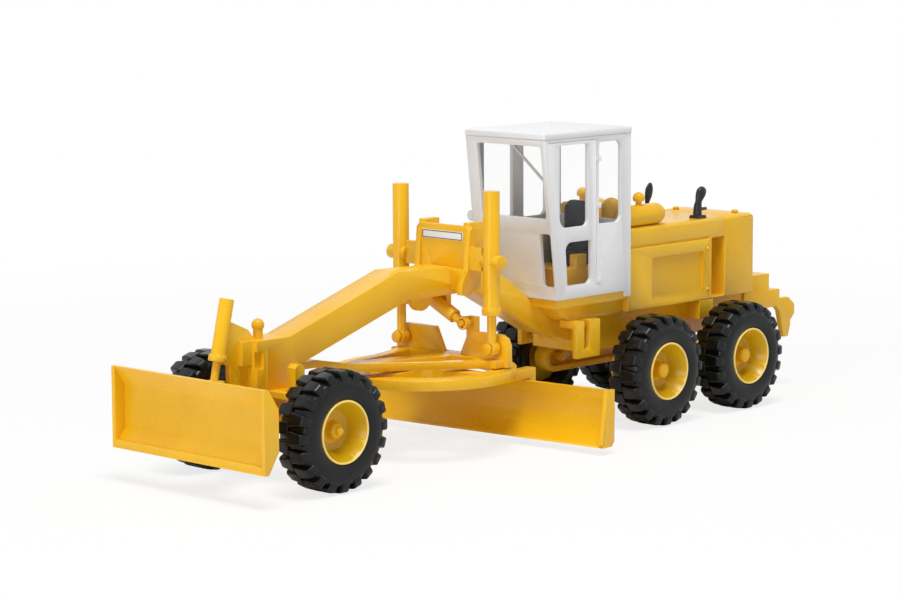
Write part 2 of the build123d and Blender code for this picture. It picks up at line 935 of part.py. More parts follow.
def drawbar():
    ear = box(ear_rear, ear_front, ear_inner, ear_outer, drawbar_bottom, drawbar_top)
    head_start = lift_x + lift_eye_width / 2 + lift_pin_head_gap
    pin = along_x(cross_plate_x - sink, head_start + lift_pin_head, lift_y, lift_eye_z, lift_pin_radius)
    pin += along_x(head_start, head_start + lift_pin_head, lift_y, lift_eye_z, lift_pin_head_radius)
    side_high = side_eye_z + hanger_half_width
    side_rear = cross_plate_x - cross_plate_thickness
    width = side_lug_half_width
    lug_start = side_eye_y - width
    side_lug = box(side_rear, cross_plate_x, lug_start, side_eye_y + width, lug_top - through, side_high)
    side_pin_end = side_x + side_eye_thickness
    shape = drawbar_frame() + lug_plates() + Pos(ball_x, 0, ball_z) * Sphere(ball_radius)
    shape += upright(circle_x, 0, circle_bottom, drawbar_top, circle_pin_radius)
    shape += side_lug + along_x(cross_plate_x - sink, side_pin_end, side_eye_y, side_eye_z, side_pin_radius)
    return shape + both_sides(ear + pin)


# Side cylinder
def side_point(distance):
    run = Vector(0, side_eye_y - side_anchor_y, side_eye_z - side_anchor_z)
    return Vector(side_x, side_anchor_y, side_anchor_z) + run.normalized() * distance


def side_length():
    return sqrt((side_eye_y - side_anchor_y) ** 2 + (side_eye_z - side_anchor_z) ** 2)


def side_barrel():
    shape = bar(side_point(-side_barrel_back), side_point(side_barrel_length), side_barrel_radius)
    bore_end = side_point(side_barrel_length + through)
    shape -= bar(side_point(side_bore_start), bore_end, side_rod_radius + turning_gap)
    hole_start = side_x - side_barrel_radius - through
    hole_radius = side_pin_radius + turning_gap
    return shape - along_x(hole_start, side_x + turning_gap, side_anchor_y, side_anchor_z, hole_radius)


def side_rod():
    half = side_eye_thickness / 2
    eye = along_x(side_x - half, side_x + half, side_eye_y, side_eye_z, side_eye_radius)
    rod = bar(side_point(side_rod_start), side_point(side_length() - side_pin_radius), side_rod_radius)
    hole_radius = side_pin_radius + open_pivot_gap
    return eye + rod - along_x(side_x - through, side_x + through, side_eye_y, side_eye_z, hole_radius)


# Circle and blade, made square and then turned about the circle's centre
def circle():
    ring = upright(circle_x, 0, circle_bottom, circle_top, circle_radius)
    ring -= upright(circle_x, 0, circle_bottom - through, circle_top + through, circle_inner_radius)
    hub = upright(circle_x, 0, circle_bottom, circle_top, circle_hub_radius)
    reach = circle_inner_radius + sink
    half = spoke_width / 2
    spokes = box(circle_x - reach, circle_x + reach, -half, half, circle_bottom, circle_top)
    spokes += box(circle_x - half, circle_x + half, -reach, reach, circle_bottom, circle_top)
    hole_radius = circle_pin_radius + turning_gap
    hole = upright(circle_x, 0, circle_bottom - through, circle_top + through, hole_radius)
    back = circle_x - blade_offset - blade_hollow - blade_thickness - sink
    leg_high = circle_bottom + leg_top_rise
    leg = side_plate(
        [
            (circle_x - leg_front, leg_high),
            (circle_x - leg_front, blade_top + sink),
            (back, blade_top + sink),
            (back, blade_bottom + leg_foot),
            (back - leg_depth, blade_bottom + leg_foot),
            (back - leg_depth, leg_high),
        ],
        leg_y - leg_width / 2,
        leg_y + leg_width / 2,
    )
    return turned(ring + hub + spokes + both_sides(leg) - hole - square_blade())


def turned(shape):
    return Pos(circle_x, 0, 0) * Rot(0, 0, blade_turn) * Pos(-circle_x, 0, 0) * shape


def blade_arc(x_low, x_high, y, bulge):
    middle = ((x_low + x_high) / 2 - bulge, y, blade_bottom + blade_height / 2)
    return ThreePointArc((x_low, y, blade_bottom), middle, (x_high, y, blade_top))


def square_blade():
    x = circle_x - blade_offset
    shift = blade_offset * tan(radians(blade_turn))
    y0 = -blade_half_length + shift
    y1 = blade_half_length + shift
    thick = blade_thickness
    front = blade_arc(x, x - blade_lean, y0, blade_hollow)
    back = blade_arc(x - thick, x - blade_lean - thick, y0, blade_hollow)
    top = Line((x - blade_lean, y0, blade_top), (x - blade_lean - thick, y0, blade_top))
    bottom = Line((x - thick, y0, blade_bottom), (x, y0, blade_bottom))
    shape = extrude(Face(Wire([front, top, back, bottom])), amount=y1 - y0, dir=(0, 1, 0))
    low_z = blade_bottom + blade_end_corner
    end = [
        (x + blade_end_proud, low_z),
        (x - blade_lean + blade_end_proud, blade_top),
        (x - blade_end_depth, blade_top),
        (x - blade_end_depth, low_z),
        (x - blade_end_depth + blade_end_corner, blade_bottom),
        (x - blade_end_corner, blade_bottom),
    ]
    shape += side_plate(end, y0, y0 + blade_end_thickness)
    return shape + side_plate(end, y1 - blade_end_thickness, y1)


# Chassis
def platform():
    slab_low = platform_top - platform_thickness
    wide = platform_half_width
    slab = box(platform_front, hood_front, -wide, wide, slab_low, platform_top)
    post_inner = cab_half_width - cab_wall - fit_gap
    post_front_x = cab_rear + cab_post_length + fit_gap
    notch_top = platform_top + through
    notch = box(hood_front - sink, post_front_x, post_inner, wide + through, slab_low - through, notch_top)
    slab -= both_sides(notch)
    wedge = [
        (wedge_front, slab_low + sink),
        (hood_front, slab_low + sink),
        (hood_front, chassis_top - sink),
        (wedge_rear, chassis_top - sink),
    ]
    return slab + side_plate(wedge, -plinth_half_width, plinth_half_width)


def hitch_plate():
    front = rear_beam_rear + hitch_thickness
    edge = [(hitch_rear + ahead, hitch_top - drop) for ahead, drop in hitch_edge]
    root = [(front, rear_beam_bottom), (front, hitch_top)]
    foot = [(rear_beam_rear, rear_beam_bottom - hitch_thickness)]
    return side_plate(root + edge + foot, rear_half_width - hitch_thickness, rear_half_width)


def side_step():
    outer = platform_half_width + step_thickness
    top = chassis_top
    shape = box(step_front, step_rear, platform_half_width, outer, step_bottom, top)
    slot_low = step_bottom + step_bar
    inner = platform_half_width - through
    shape -= box(step_slot_front, step_slot_rear, inner, outer + through, slot_low, top + through)
    root_low = top - step_root_height
    root_in = chassis_half_width - sink
    for front, rear in ((step_front, step_slot_front), (step_slot_rear, step_rear)):
        shape += box(front, rear, root_in, platform_half_width + sink, root_low, top)
    return shape


def chassis():
    wide = chassis_half_width
    shape = box(chassis_front, chassis_rear, -wide, wide, chassis_bottom, chassis_top) + platform()
    rear_wide = rear_half_width
    shape += box(chassis_rear, rear_block_rear, -rear_wide, rear_wide, rear_beam_top - sink, rear_block_top)
    beam_front = chassis_rear + sink
    shape += box(beam_front, rear_beam_rear, -rear_wide, rear_wide, rear_beam_bottom, rear_beam_top)
    box_top = chassis_top - fit_gap
    step_box = box(step_box_front, step_box_rear, wide - sink, hood_half_width, step_box_bottom, box_top)
    middle = (first_rear_axle + second_rear_axle) / 2
    shaft_z = axle_z + tandem_shaft_rise
    shaft = along_y(wide - sink, tandem_inner(), middle, shaft_z, tandem_shaft_radius)
    steps = side_step() + Pos(-far_step_back, 0, 0) * mirrored(side_step())
    return shape + both_sides(hitch_plate() + step_box + shaft) + steps - boom_body()


def tandem_inner():
    return tyre_inner_y - side_gap - tandem_thickness


def long_round(y0, y1, radius):
    front = first_rear_axle + tandem_overhang
    rear = second_rear_axle - tandem_overhang
    shape = box(front, rear, y0, y1, axle_z - radius, axle_z + radius)
    for x in (front, rear):
        shape += along_y(y0, y1, x, axle_z, radius)
    return shape


def tandem_case():
    inner = tandem_inner()
    outer = inner + tandem_thickness
    half = tandem_depth / 2
    shape = long_round(inner, outer, half)
    shape -= long_round(inner - through, outer - tandem_web, half - tandem_wall)
    for x in (first_rear_axle, second_rear_axle):
        shape += along_y(inner, stub_end(), x, axle_z, stub_radius)
    middle = (first_rear_axle + second_rear_axle) / 2
    boss_radius_outer = tandem_shaft_radius + tandem_boss_wall
    return shape + along_y(inner, outer, middle, axle_z + tandem_shaft_rise, boss_radius_outer)


# Cab
def front_at(z):
    share = (z - cab_bottom) / cab_height
    return cab_front_bottom + (cab_front_top - cab_front_bottom) * share


def cab_side():
    inner = cab_half_width - cab_wall
    outline = [
        (front_at(cab_bottom) - cab_wall, cab_bottom),
        (front_at(cab_roof_bottom) - cab_wall, cab_roof_bottom),
        (cab_rear, cab_roof_bottom),
        (cab_rear, cab_bottom - cab_post_drop),
        (cab_rear + cab_post_length, cab_bottom - cab_post_drop),
        (cab_rear + cab_post_length, cab_bottom),
    ]
    shape = side_plate(outline, inner, cab_half_width)
    low_sill = cab_bottom + door_low_sill
    low_head = low_sill + door_low_height
    sill = window_bottom
    head = window_top
    windows = (
        # front at the top, front at the bottom, rear, bottom, top, radii
        (door_window_front, door_window_front, door_window_rear, sill, head, door_window_radii),
        (door_low_front, door_low_front - door_low_lean, door_low_rear, low_sill, low_head, door_low_radii),
        (side_window_front, side_window_front, side_window_rear, sill, head, side_window_radii),
    )
    for front, low_front, rear, bottom, top, radii in windows:
        places = ((low_front, bottom), (front, top), (rear, top), (rear, bottom))
        shape -= side_window([(x, z, radius) for (x, z), radius in zip(places, radii)])
    seam_inner = cab_half_width - seam_depth
    seam_top = cab_roof_bottom - door_seam_drop
    seam_front = door_seam_x + seam_width
    seam_low = cab_bottom + door_seam_rise
    out = cab_half_width + through
    shape -= box(door_seam_x, seam_front, seam_inner, out, seam_low, seam_top)
    return shape - box(door_seam_x, 0, seam_inner, out, seam_top - seam_width, seam_top)


def leaning(y0, y1, depth_out, depth_in, bottom, top):
    outline = [
        (front_at(bottom) - depth_out, bottom),
        (front_at(top) - depth_out, top),
        (front_at(top) - depth_in, top),
        (front_at(bottom) - depth_in, bottom),
    ]
    return side_plate(outline, y0, y1)


def cab_front():
    shape = leaning(-cab_half_width, cab_half_width, 0, cab_wall, cab_bottom, cab_roof_bottom)
    sill = cab_bottom + windscreen_sill
    low_sill = cab_bottom + door_low_sill
    low_head = low_sill + corner_window_height
    inner = corner_window_inner
    outer = corner_window_outer
    windows = (
        # one side, other side, bottom, top
        (windscreen_far, windscreen_near, sill, window_top),
        (inner, outer, low_sill, low_head),
        (-outer, -inner, low_sill, low_head),
    )
    start = cab_front_bottom - cab_wall - through
    depth = cab_front_top - start + through
    radius = front_window_radius
    for y0, y1, bottom, top in windows:
        corners = [(y0, bottom, radius), (y0, top, radius), (y1, top, radius), (y1, bottom, radius)]
        shape -= end_window(corners, start, depth)
    return shape


def cab_back():
    inner = cab_half_width - cab_wall
    shape = box(cab_rear, cab_rear + cab_wall, -inner, inner, cab_bottom, cab_roof_bottom)
    half = rear_window_half_width
    radius = rear_window_radius
    corners = [
        (-half, window_bottom, radius),
        (-half, window_top, radius),
        (half, window_top, radius),
        (half, window_bottom, radius),
    ]
    return shape - end_window(corners, cab_rear - through, cab_wall + 2 * through)


def cab_roof():
    half = cab_half_width + roof_side
    front = front_at(cab_roof_bottom) + roof_end
    return box(front, cab_rear - roof_end, -half, half, cab_roof_bottom, cab_roof_top)


def cab_floor():
    inner = cab_half_width - cab_wall
    front = front_at(cab_bottom) - cab_wall
    floor_top = cab_bottom + floor_thickness
    shape = box(front, cab_rear + cab_wall, -inner, inner, cab_bottom, floor_top)
    half = seat_plinth_half_width
    shape += box(seat_plinth_rear, seat_plinth_front, -half, half, floor_top, seat_plinth_top)
    side_front = seat_box_rear + seat_box_length
    side_inner = seat_half_width + seat_box_gap
    return shape + box(seat_box_rear, side_front, side_inner, half, seat_plinth_top, seat_box_top)


def cab_glass():
    inner = cab_half_width - cab_wall
    bottom = cab_bottom + floor_thickness
    top = cab_roof_bottom
    thick = glass_thickness
    pane_y = inner - thick - glass_gap
    front = leaning(-pane_y, pane_y, cab_wall, cab_wall + thick, bottom, top)
    back = box(cab_rear + cab_wall, cab_rear + cab_wall + thick, -pane_y, pane_y, bottom, top)
    side_front = [(front_at(z) - cab_wall - thick - glass_gap, z) for z in (bottom, top)]
    side_rear = cab_rear + cab_wall + thick + glass_gap
    side = side_plate(side_front + [(side_rear, top), (side_rear, bottom)], inner - thick, inner)
    return [front, back, side, mirrored(side)]


def seat():
    half = seat_length / 2
    wide = seat_half_width
    shape = box(seat_x - half, seat_x + half, -wide, wide, seat_plinth_top, seat_cushion_top)
    outline = [
        (-wide, seat_plinth_top),
        (wide, seat_plinth_top),
        (wide, seat_back_top - seat_corner),
        (wide - seat_corner, seat_back_top),
        (-wide + seat_corner, seat_back_top),
        (-wide, seat_back_top - seat_corner),
    ]
    return shape + cross_plate(outline, seat_x - half, seat_x - half + seat_back_thickness)


def console():
    floor = cab_bottom + floor_thickness
    front = console_x + console_half_length
    rear = console_x - console_half_length
    shape = box(rear, front, -console_half_width, console_half_width, floor, console_top)
    wheel_x = console_x - column_back
    wheel_z = console_top + column_rise
    shape += bar((console_x, 0, console_top - column_radius), (wheel_x, 0, wheel_z), column_radius)
    tilt = Plane(origin=(wheel_x, 0, wheel_z), z_dir=(-wheel_lean, 0, 1))
    return shape + tilt * Cylinder(wheel_radius, wheel_thickness)


# Engine cover
def top_edges(shape, length):
    edges = [edge for edge in shape.edges() if edge.center().Z > hood_top - sink and edge.length > length]
    return [edge for edge in edges if abs(edge.center().Y) > hood_half_width - sink]


def hood():
    shape = box(hood_front, slot_rear, -hood_half_width, hood_half_width, chassis_top, hood_top)
    shape = fillet(top_edges(shape, hood_half_width), hood_edge)
    side = hood_half_width
    inside = side - recess_depth
    recess = cross_plate(
        [
            (inside, recess_top),
            (inside, recess_bottom + recess_slope),
            (side, recess_bottom),
            (side + through, recess_bottom),
            (side + through, recess_top),
        ],
        recess_rear,
        recess_front,
    )
    slot = box(slot_front, slot_rear - through, side - slot_depth, side + through, slot_bottom, slot_top)
    groove_rear = slot_front + groove_end_gap
    groove_high = groove_z + groove_height
    groove = box(hood_front, groove_rear, side - groove_depth, side + through, groove_z, groove_high)
    return shape - both_sides(recess + slot + groove)


def radiator_housing():
    shape = box(slot_rear, housing_rear, -hood_half_width, hood_half_width, chassis_top, hood_top)
    sides = top_edges(shape, 1)
    upper = [edge for edge in shape.edges() if edge.center().Z > hood_top - sink]
    rear = [edge for edge in upper if edge.center().X < housing_rear + sink]
    return fillet(sides + rear, hood_edge)


def air_canister(side):
    y = side * canister_y
    shape = along_x(canister_front, canister_rear, y, canister_z, canister_radius)
    shape += Pos(canister_rear, y, canister_z) * Sphere(canister_radius)
    shape += upright(inlet_x, y, canister_z, inlet_z, inlet_stem_radius)
    shape += Pos(inlet_x, y, inlet_z) * Sphere(inlet_radius)
    under = inlet_z - inlet_radius / 2
    rear = canister_rear - 2 * canister_radius
    wide = canister_radius + through
    shape -= box(canister_front, rear, y - wide, y + wide, hood_top - through, hood_top)
    wide = inlet_radius + sink
    ring = box(inlet_x - wide, inlet_x + wide, y - wide, y + wide, under - inlet_radius / 2, under)
    ring -= upright(inlet_x, y, under - inlet_radius, under + sink, inlet_stem_radius)
    return shape - ring


def precleaner():
    column = upright(precleaner_x, precleaner_y, hood_top, precleaner_z, precleaner_radius)
    return column + Pos(precleaner_x, precleaner_y, precleaner_z) * Sphere(precleaner_radius)


def stack(y):
    half = stack_base_half
    base_top = hood_top + stack_base_height
    shape = box(stack_x - half, stack_x + half, y - half, y + half, hood_top, base_top)
    shape += upright(stack_x, y, base_top - sink, stack_top - stack_head_height + sink, stack_pipe_radius)
    shape += upright(stack_x, y, stack_top - stack_head_height, stack_top, stack_head_radius)
    stub_end_x = stack_x - stack_stub_length
    return shape + along_x(stack_x, stub_end_x, y, stack_stub_z, stack_stub_radius)


def filler_caps():
    top = hood_top + filler_height
    far = upright(filler_far_x, filler_far_y, hood_top, top, filler_radius)
    near = upright(filler_near_x, filler_near_y, hood_top, top, filler_radius)
    return [far, near]


def write(name, shapes):
    if not isinstance(shapes, (list, tuple)):
        shapes = [shapes]
    solids = [solid for shape in shapes for solid in shape.solids()]
    moved = [Pos(origin_shift, 0, 0) * solid for solid in solids]
    whole = moved[0] if len(moved) == 1 else Compound(children=moved)
    export_step(whole, "parts/" + name + ".step")


def build():
    os.makedirs("parts", exist_ok=True)
    wheels = (
        # name, axle x, side
        ("front_left", 0, 1),
        ("front_right", 0, -1),
        ("middle_left", first_rear_axle, 1),
        ("middle_right", first_rear_axle, -1),
        ("rear_left", second_rear_axle, 1),
        ("rear_right", second_rear_axle, -1),
    )
    one_tyre = tyre()
    one_rim = rim()
    for name, x, side in wheels:
        write("tyre_" + name, place_wheel(one_tyre, x, side))
        write("rim_" + name, place_wheel(one_rim, x, side))
    single = (
        ("front_axle", front_axle()),
        ("knuckle_left", knuckle()),
        ("knuckle_right", mirrored(knuckle())),
        ("tie_rod", tie_rod()),
        ("main_boom", main_boom()),
        ("plough_blade", plough_blade()),
        ("plough_frame", plough_frame()),
        ("plough_cylinder", ram_barrel()),
        ("saddle_bracket", saddle_bracket()),
        ("number_plate", number_plate()),
        ("lift_cylinder_left", lift_barrel()),
        ("lift_cylinder_right", mirrored(lift_barrel())),
        ("lift_rod_left", lift_rod()),
        ("lift_rod_right", mirrored(lift_rod())),
        ("drawbar", drawbar()),
        ("side_cylinder", side_barrel()),
        ("side_rod", side_rod()),
        ("circle", circle()),
        ("main_blade", turned(square_blade())),
        ("chassis", chassis()),
        ("tandem_case_left", tandem_case()),
        ("tandem_case_right", mirrored(tandem_case())),
        ("cab_front", cab_front()),
        ("cab_back", cab_back()),
        ("cab_side_left", cab_side()),
        ("cab_side_right", mirrored(cab_side())),
        ("cab_roof", cab_roof()),
        ("cab_floor", cab_floor()),
        ("cab_windows", cab_glass()),
        ("seat", seat()),
        ("steering_console", console()),
        ("hood", hood()),
        ("radiator_housing", radiator_housing()),
        ("air_canisters", [air_canister(1), air_canister(-1)]),
        ("precleaner", precleaner()),
        ("stacks", [stack(stack_near_y), stack(stack_far_y)]),
        ("filler_caps", filler_caps()),
    )
    for name, shape in single:
        write(name, shape)


build()
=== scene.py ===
import bpy, bmesh, json, math
from mathutils import Matrix, Vector

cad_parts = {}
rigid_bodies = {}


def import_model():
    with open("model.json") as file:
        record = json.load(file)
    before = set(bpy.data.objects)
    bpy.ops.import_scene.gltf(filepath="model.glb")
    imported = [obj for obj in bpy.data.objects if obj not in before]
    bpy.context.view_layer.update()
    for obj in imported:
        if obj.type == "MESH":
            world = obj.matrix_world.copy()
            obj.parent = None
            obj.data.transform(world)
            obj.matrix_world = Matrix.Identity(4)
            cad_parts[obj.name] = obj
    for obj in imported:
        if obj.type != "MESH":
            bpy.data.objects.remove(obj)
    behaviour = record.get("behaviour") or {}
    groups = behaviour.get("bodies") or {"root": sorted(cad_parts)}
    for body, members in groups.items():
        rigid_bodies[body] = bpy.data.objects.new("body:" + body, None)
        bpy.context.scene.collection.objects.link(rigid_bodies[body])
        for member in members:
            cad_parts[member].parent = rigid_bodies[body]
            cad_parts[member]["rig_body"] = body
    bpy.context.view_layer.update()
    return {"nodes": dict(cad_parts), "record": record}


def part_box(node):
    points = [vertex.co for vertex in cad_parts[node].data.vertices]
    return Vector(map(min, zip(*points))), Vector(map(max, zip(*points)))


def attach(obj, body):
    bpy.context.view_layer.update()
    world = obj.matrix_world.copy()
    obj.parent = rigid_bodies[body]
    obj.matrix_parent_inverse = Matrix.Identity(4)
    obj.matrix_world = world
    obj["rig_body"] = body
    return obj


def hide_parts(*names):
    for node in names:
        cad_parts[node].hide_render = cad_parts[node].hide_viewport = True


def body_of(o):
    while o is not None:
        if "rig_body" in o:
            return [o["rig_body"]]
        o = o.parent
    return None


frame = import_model()
mm = 0.001
nodes = frame["nodes"]
slotOf = {part["node"]: part["material_slot"] for part in frame["record"]["subparts"]}


def centreOf(node):
    low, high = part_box(node)
    return (Vector(low) + Vector(high)) / 2


frontAxle = centreOf("rim_front_left")
frontAxle.y = 0


def at(x, y, z):
    # a place in mm from the ground under the front axle
    return Vector((frontAxle.x + x * mm, y * mm, z * mm))


cameraValues = {
    "place": (243.47, 263.62, 72.416),   # mm from the ground under the front axle
    "yaw": -136.353,                     # degrees
    "pitch": -7.886,
    "roll": -0.259,
    "lens": 115.477,                     # mm
    "sensor": 36,                        # mm, its width
    "clip": (0.01, 20),                  # metres
}


def addCamera(values):
    data = bpy.data.cameras.new("photoCamera")
    data.lens = values["lens"]
    data.sensor_width = values["sensor"]
    data.clip_start, data.clip_end = values["clip"]
    camera = bpy.data.objects.new("photoCamera", data)
    # a camera looks down and has its top to +Y before it is turned
    turn = Matrix.Rotation(math.radians(values["yaw"] - 90), 4, "Z")
    tilt = Matrix.Rotation(math.radians(90 + values["pitch"]), 4, "X")
    roll = Matrix.Rotation(math.radians(values["roll"]), 4, "Z")
    camera.matrix_world = Matrix.Translation(at(*values["place"])) @ turn @ tilt @ roll
    bpy.context.collection.objects.link(camera)
    bpy.context.scene.camera = camera


addCamera(cameraValues)
print("camera placed")


# Shared effects
perMetre = 1000.0             # a size in mm becomes a texture scale when this is divided by it
skinEffect = {
    "grain": (3.0, 0.6),      # detail and roughness of the noise
    "wave": (2.0, 0.5),
    "waveShare": 2.5,         # height of the waves against the grain
    "rub": (4.0, 0.6),
    "rubScale": 0.8,          # scale of the dull patches against the waves
    "rubbed": (0.35, 0.68),   # the noise between which a patch grows dull
    "deep": (0.3, 0.7),       # and between which the colour grows deep
}
edgeHighlightEffect = {"pointed": (0.52, 0.6)}     # pointiness at which the painted edge highlight starts, and is full
speckEffect = {
    "patch": (250.0, 2.0),    # scale and detail of where dust lies
    "near": (0.16, 0.05),     # distance from a speck's middle at which it ends, and is full
    "dusty": (0.5, 0.7),
}


def newGroup(name, inputs, outputs):
    group = bpy.data.node_groups.new(name, "ShaderNodeTree")
    for label, value in inputs:
        socket = group.interface.new_socket(name=label, in_out="INPUT", socket_type="NodeSocketFloat")
        socket.default_value = value
    for label, kind in outputs:
        group.interface.new_socket(name=label, in_out="OUTPUT", socket_type=kind)
    return group, group.nodes.new("NodeGroupInput"), group.nodes.new("NodeGroupOutput")


def mathNode(tree, operation, first, second):
    node = tree.nodes.new("ShaderNodeMath")
    node.operation = operation
    for socket, value in zip(node.inputs, (first, second)):
        if isinstance(value, (int, float)):
            socket.default_value = value
        else:
            tree.links.new(value, socket)
    return node.outputs[0]


def noiseAt(tree, vector, scale, detail, roughness=0.5):
    noise = tree.nodes.new("ShaderNodeTexNoise")
    noise.inputs["Detail"].default_value = detail
    noise.inputs["Roughness"].default_value = roughness
    tree.links.new(vector, noise.inputs["Vector"])
    if isinstance(scale, (int, float)):
        noise.inputs["Scale"].default_value = scale
    else:
        tree.links.new(scale, noise.inputs["Scale"])
    return noise.outputs["Fac"]


def spread(tree, value, low, high):
    # stretches a noise, which stays near its middle, to 0 to 1
    ranged = tree.nodes.new("ShaderNodeMapRange")
    ranged.inputs["From Min"].default_value = low
    ranged.inputs["From Max"].default_value = high
    tree.links.new(value, ranged.inputs["Value"])
    return ranged.outputs["Result"]


def makeMouldSkin(values):
    # fine spark-eroded texture of the mould, slow waves in the wall, and where the gloss is worn duller
    group, given, result = newGroup(
        "mouldSkin",
        [("Grain Size", 0.2), ("Wave Size", 5.0)],
        [("Height", "NodeSocketFloat"), ("Dull", "NodeSocketFloat"), ("Depth", "NodeSocketFloat")],
    )
    where = group.nodes.new("ShaderNodeTexCoord").outputs["Object"]
    grainScale = mathNode(group, "DIVIDE", perMetre, given.outputs["Grain Size"])
    waveScale = mathNode(group, "DIVIDE", perMetre, given.outputs["Wave Size"])
    grain = noiseAt(group, where, grainScale, *values["grain"])
    wave = noiseAt(group, where, waveScale, *values["wave"])
    slow = mathNode(group, "MULTIPLY", wave, values["waveShare"])
    group.links.new(mathNode(group, "ADD", grain, slow), result.inputs["Height"])
    rubScale = mathNode(group, "MULTIPLY", waveScale, values["rubScale"])
    rubbed = noiseAt(group, where, rubScale, *values["rub"])
    group.links.new(spread(group, rubbed, *values["rubbed"]), result.inputs["Dull"])
    group.links.new(spread(group, wave, *values["deep"]), result.inputs["Depth"])
    return group


def makePaintedEdgeHighlight(values):
    # painted highlight: pointed edges are coloured paler, standing in for the light that rounded edges catch
    group, _, result = newGroup("paintedEdgeHighlight", [], [("Edge", "NodeSocketFloat")])
    point = group.nodes.new("ShaderNodeNewGeometry").outputs["Pointiness"]
    group.links.new(spread(group, point, *values["pointed"]), result.inputs["Edge"])
    return group


def makeDustSpeck(values):
    # tiny light specks that lie on a dark tyre
    group, given, result = newGroup("dustSpeck", [("Speck Size", 0.5)], [("Speck", "NodeSocketFloat")])
    where = group.nodes.new("ShaderNodeTexCoord").outputs["Object"]
    cells = group.nodes.new("ShaderNodeTexVoronoi")
    group.links.new(where, cells.inputs["Vector"])
    cellScale = mathNode(group, "DIVIDE", perMetre, given.outputs["Speck Size"])
    group.links.new(cellScale, cells.inputs["Scale"])
    patch = noiseAt(group, where, *values["patch"])
    near = spread(group, cells.outputs["Distance"], *values["near"])
    dusty = spread(group, patch, *values["dusty"])
    group.links.new(mathNode(group, "MULTIPLY", near, dusty), result.inputs["Speck"])
    return group


mouldSkin = makeMouldSkin(skinEffect)
paintedEdgeHighlight = makePaintedEdgeHighlight(edgeHighlightEffect)
dustSpeck = makeDustSpeck(speckEffect)


# Finishes
mouldedIor = 1.5
clearIor = 1.49


def placeGroup(tree, group, **values):
    node = tree.nodes.new("ShaderNodeGroup")
    node.node_tree = group
    for name, value in values.items():
        node.inputs[name.replace("_", " ")].default_value = value
    return node


def mixColour(tree, factor, first, second):
    node = tree.nodes.new("ShaderNodeMix")
    node.data_type = "RGBA"
    tree.links.new(factor, node.inputs["Factor"])
    for socket, value in ((node.inputs["A"], first), (node.inputs["B"], second)):
        if isinstance(value, tuple):
            socket.default_value = (*value, 1)
        else:
            tree.links.new(value, socket)
    return node.outputs["Result"]


def plastic(name, values):
    material = bpy.data.materials.new(name)
    material.use_nodes = True
    tree = material.node_tree
    shader = tree.nodes["Principled BSDF"]
    skin = placeGroup(tree, mouldSkin, Grain_Size=values["grainSize"], Wave_Size=values["waveSize"])
    colour = mixColour(tree, skin.outputs["Depth"], values["colour"], values["deepColour"])
    # painted highlight: a paler colour on pointed edges
    if "edgeHighlightColour" in values:
        edge = placeGroup(tree, paintedEdgeHighlight)
        highlightShare = mathNode(tree, "MULTIPLY", edge.outputs["Edge"], values["edgeHighlightShare"])
        colour = mixColour(tree, highlightShare, colour, values["edgeHighlightColour"])
    if "speckSize" in values:
        speck = placeGroup(tree, dustSpeck, Speck_Size=values["speckSize"])
        share = mathNode(tree, "MULTIPLY", speck.outputs["Speck"], values["speckShare"])
        colour = mixColour(tree, share, colour, values["speckColour"])
    tree.links.new(colour, shader.inputs["Base Color"])
    low, high = values["roughness"]
    span = mathNode(tree, "MULTIPLY", skin.outputs["Dull"], high - low)
    tree.links.new(mathNode(tree, "ADD", span, low), shader.inputs["Roughness"])
    bump = tree.nodes.new("ShaderNodeBump")
    bump.inputs["Strength"].default_value = 1
    bump.inputs["Distance"].default_value = values["relief"] * mm
    tree.links.new(skin.outputs["Height"], bump.inputs["Height"])
    tree.links.new(bump.outputs["Normal"], shader.inputs["Normal"])
    shader.inputs["IOR"].default_value = mouldedIor
    shader.inputs["Specular IOR Level"].default_value = values["sheen"]
    return material


yellowValues = {
    "colour": (0.88, 0.492, 0.01), "deepColour": (0.83, 0.445, 0.006), "edgeHighlightColour": (0.95, 0.62, 0.07),
    "edgeHighlightShare": 0.35, "roughness": (0.22, 0.36), "grainSize": 0.22, "waveSize": 6.0, "relief": 0.006,
    "sheen": 0.32,
}
# painted shade: a darker yellow than the body's, standing in for the shade inside the deep dished rims, with
# a stronger painted edge highlight
rimShadeValues = {
    "colour": (0.68, 0.415, 0.008), "deepColour": (0.6, 0.36, 0.005), "edgeHighlightColour": (0.95, 0.66, 0.1),
    "edgeHighlightShare": 0.6, "roughness": (0.18, 0.3), "grainSize": 0.22, "waveSize": 3.0, "relief": 0.004,
    "sheen": 0.35,
}
# painted highlight: the bead round each rim is coloured pale, standing in for the light its rounded edge
# catches
lipHighlightValues = {
    "colour": (0.96, 0.74, 0.26), "deepColour": (0.94, 0.7, 0.22), "roughness": (0.18, 0.26),
    "grainSize": 0.2, "waveSize": 3.0, "relief": 0.003, "sheen": 0.5,
}
whiteValues = {
    "colour": (0.8, 0.805, 0.815), "deepColour": (0.76, 0.765, 0.78), "edgeHighlightColour": (0.9, 0.9, 0.91),
    "edgeHighlightShare": 0.25, "roughness": (0.25, 0.4), "grainSize": 0.22, "waveSize": 7.0, "relief": 0.004,
    "sheen": 0.4,
}
tyreValues = {
    "colour": (0.0062, 0.0072, 0.0075), "deepColour": (0.004, 0.0048, 0.005), "roughness": (0.14, 0.3),
    "grainSize": 0.3, "waveSize": 3.0, "relief": 0.012, "speckSize": 0.9, "speckShare": 0.08,
    "speckColour": (0.2, 0.2, 0.21), "sheen": 0.26,
}
seatValues = {
    "colour": (0.02, 0.024, 0.029), "deepColour": (0.015, 0.018, 0.022), "roughness": (0.4, 0.55),
    "grainSize": 0.4, "waveSize": 4.0, "relief": 0.012, "sheen": 0.3,
}
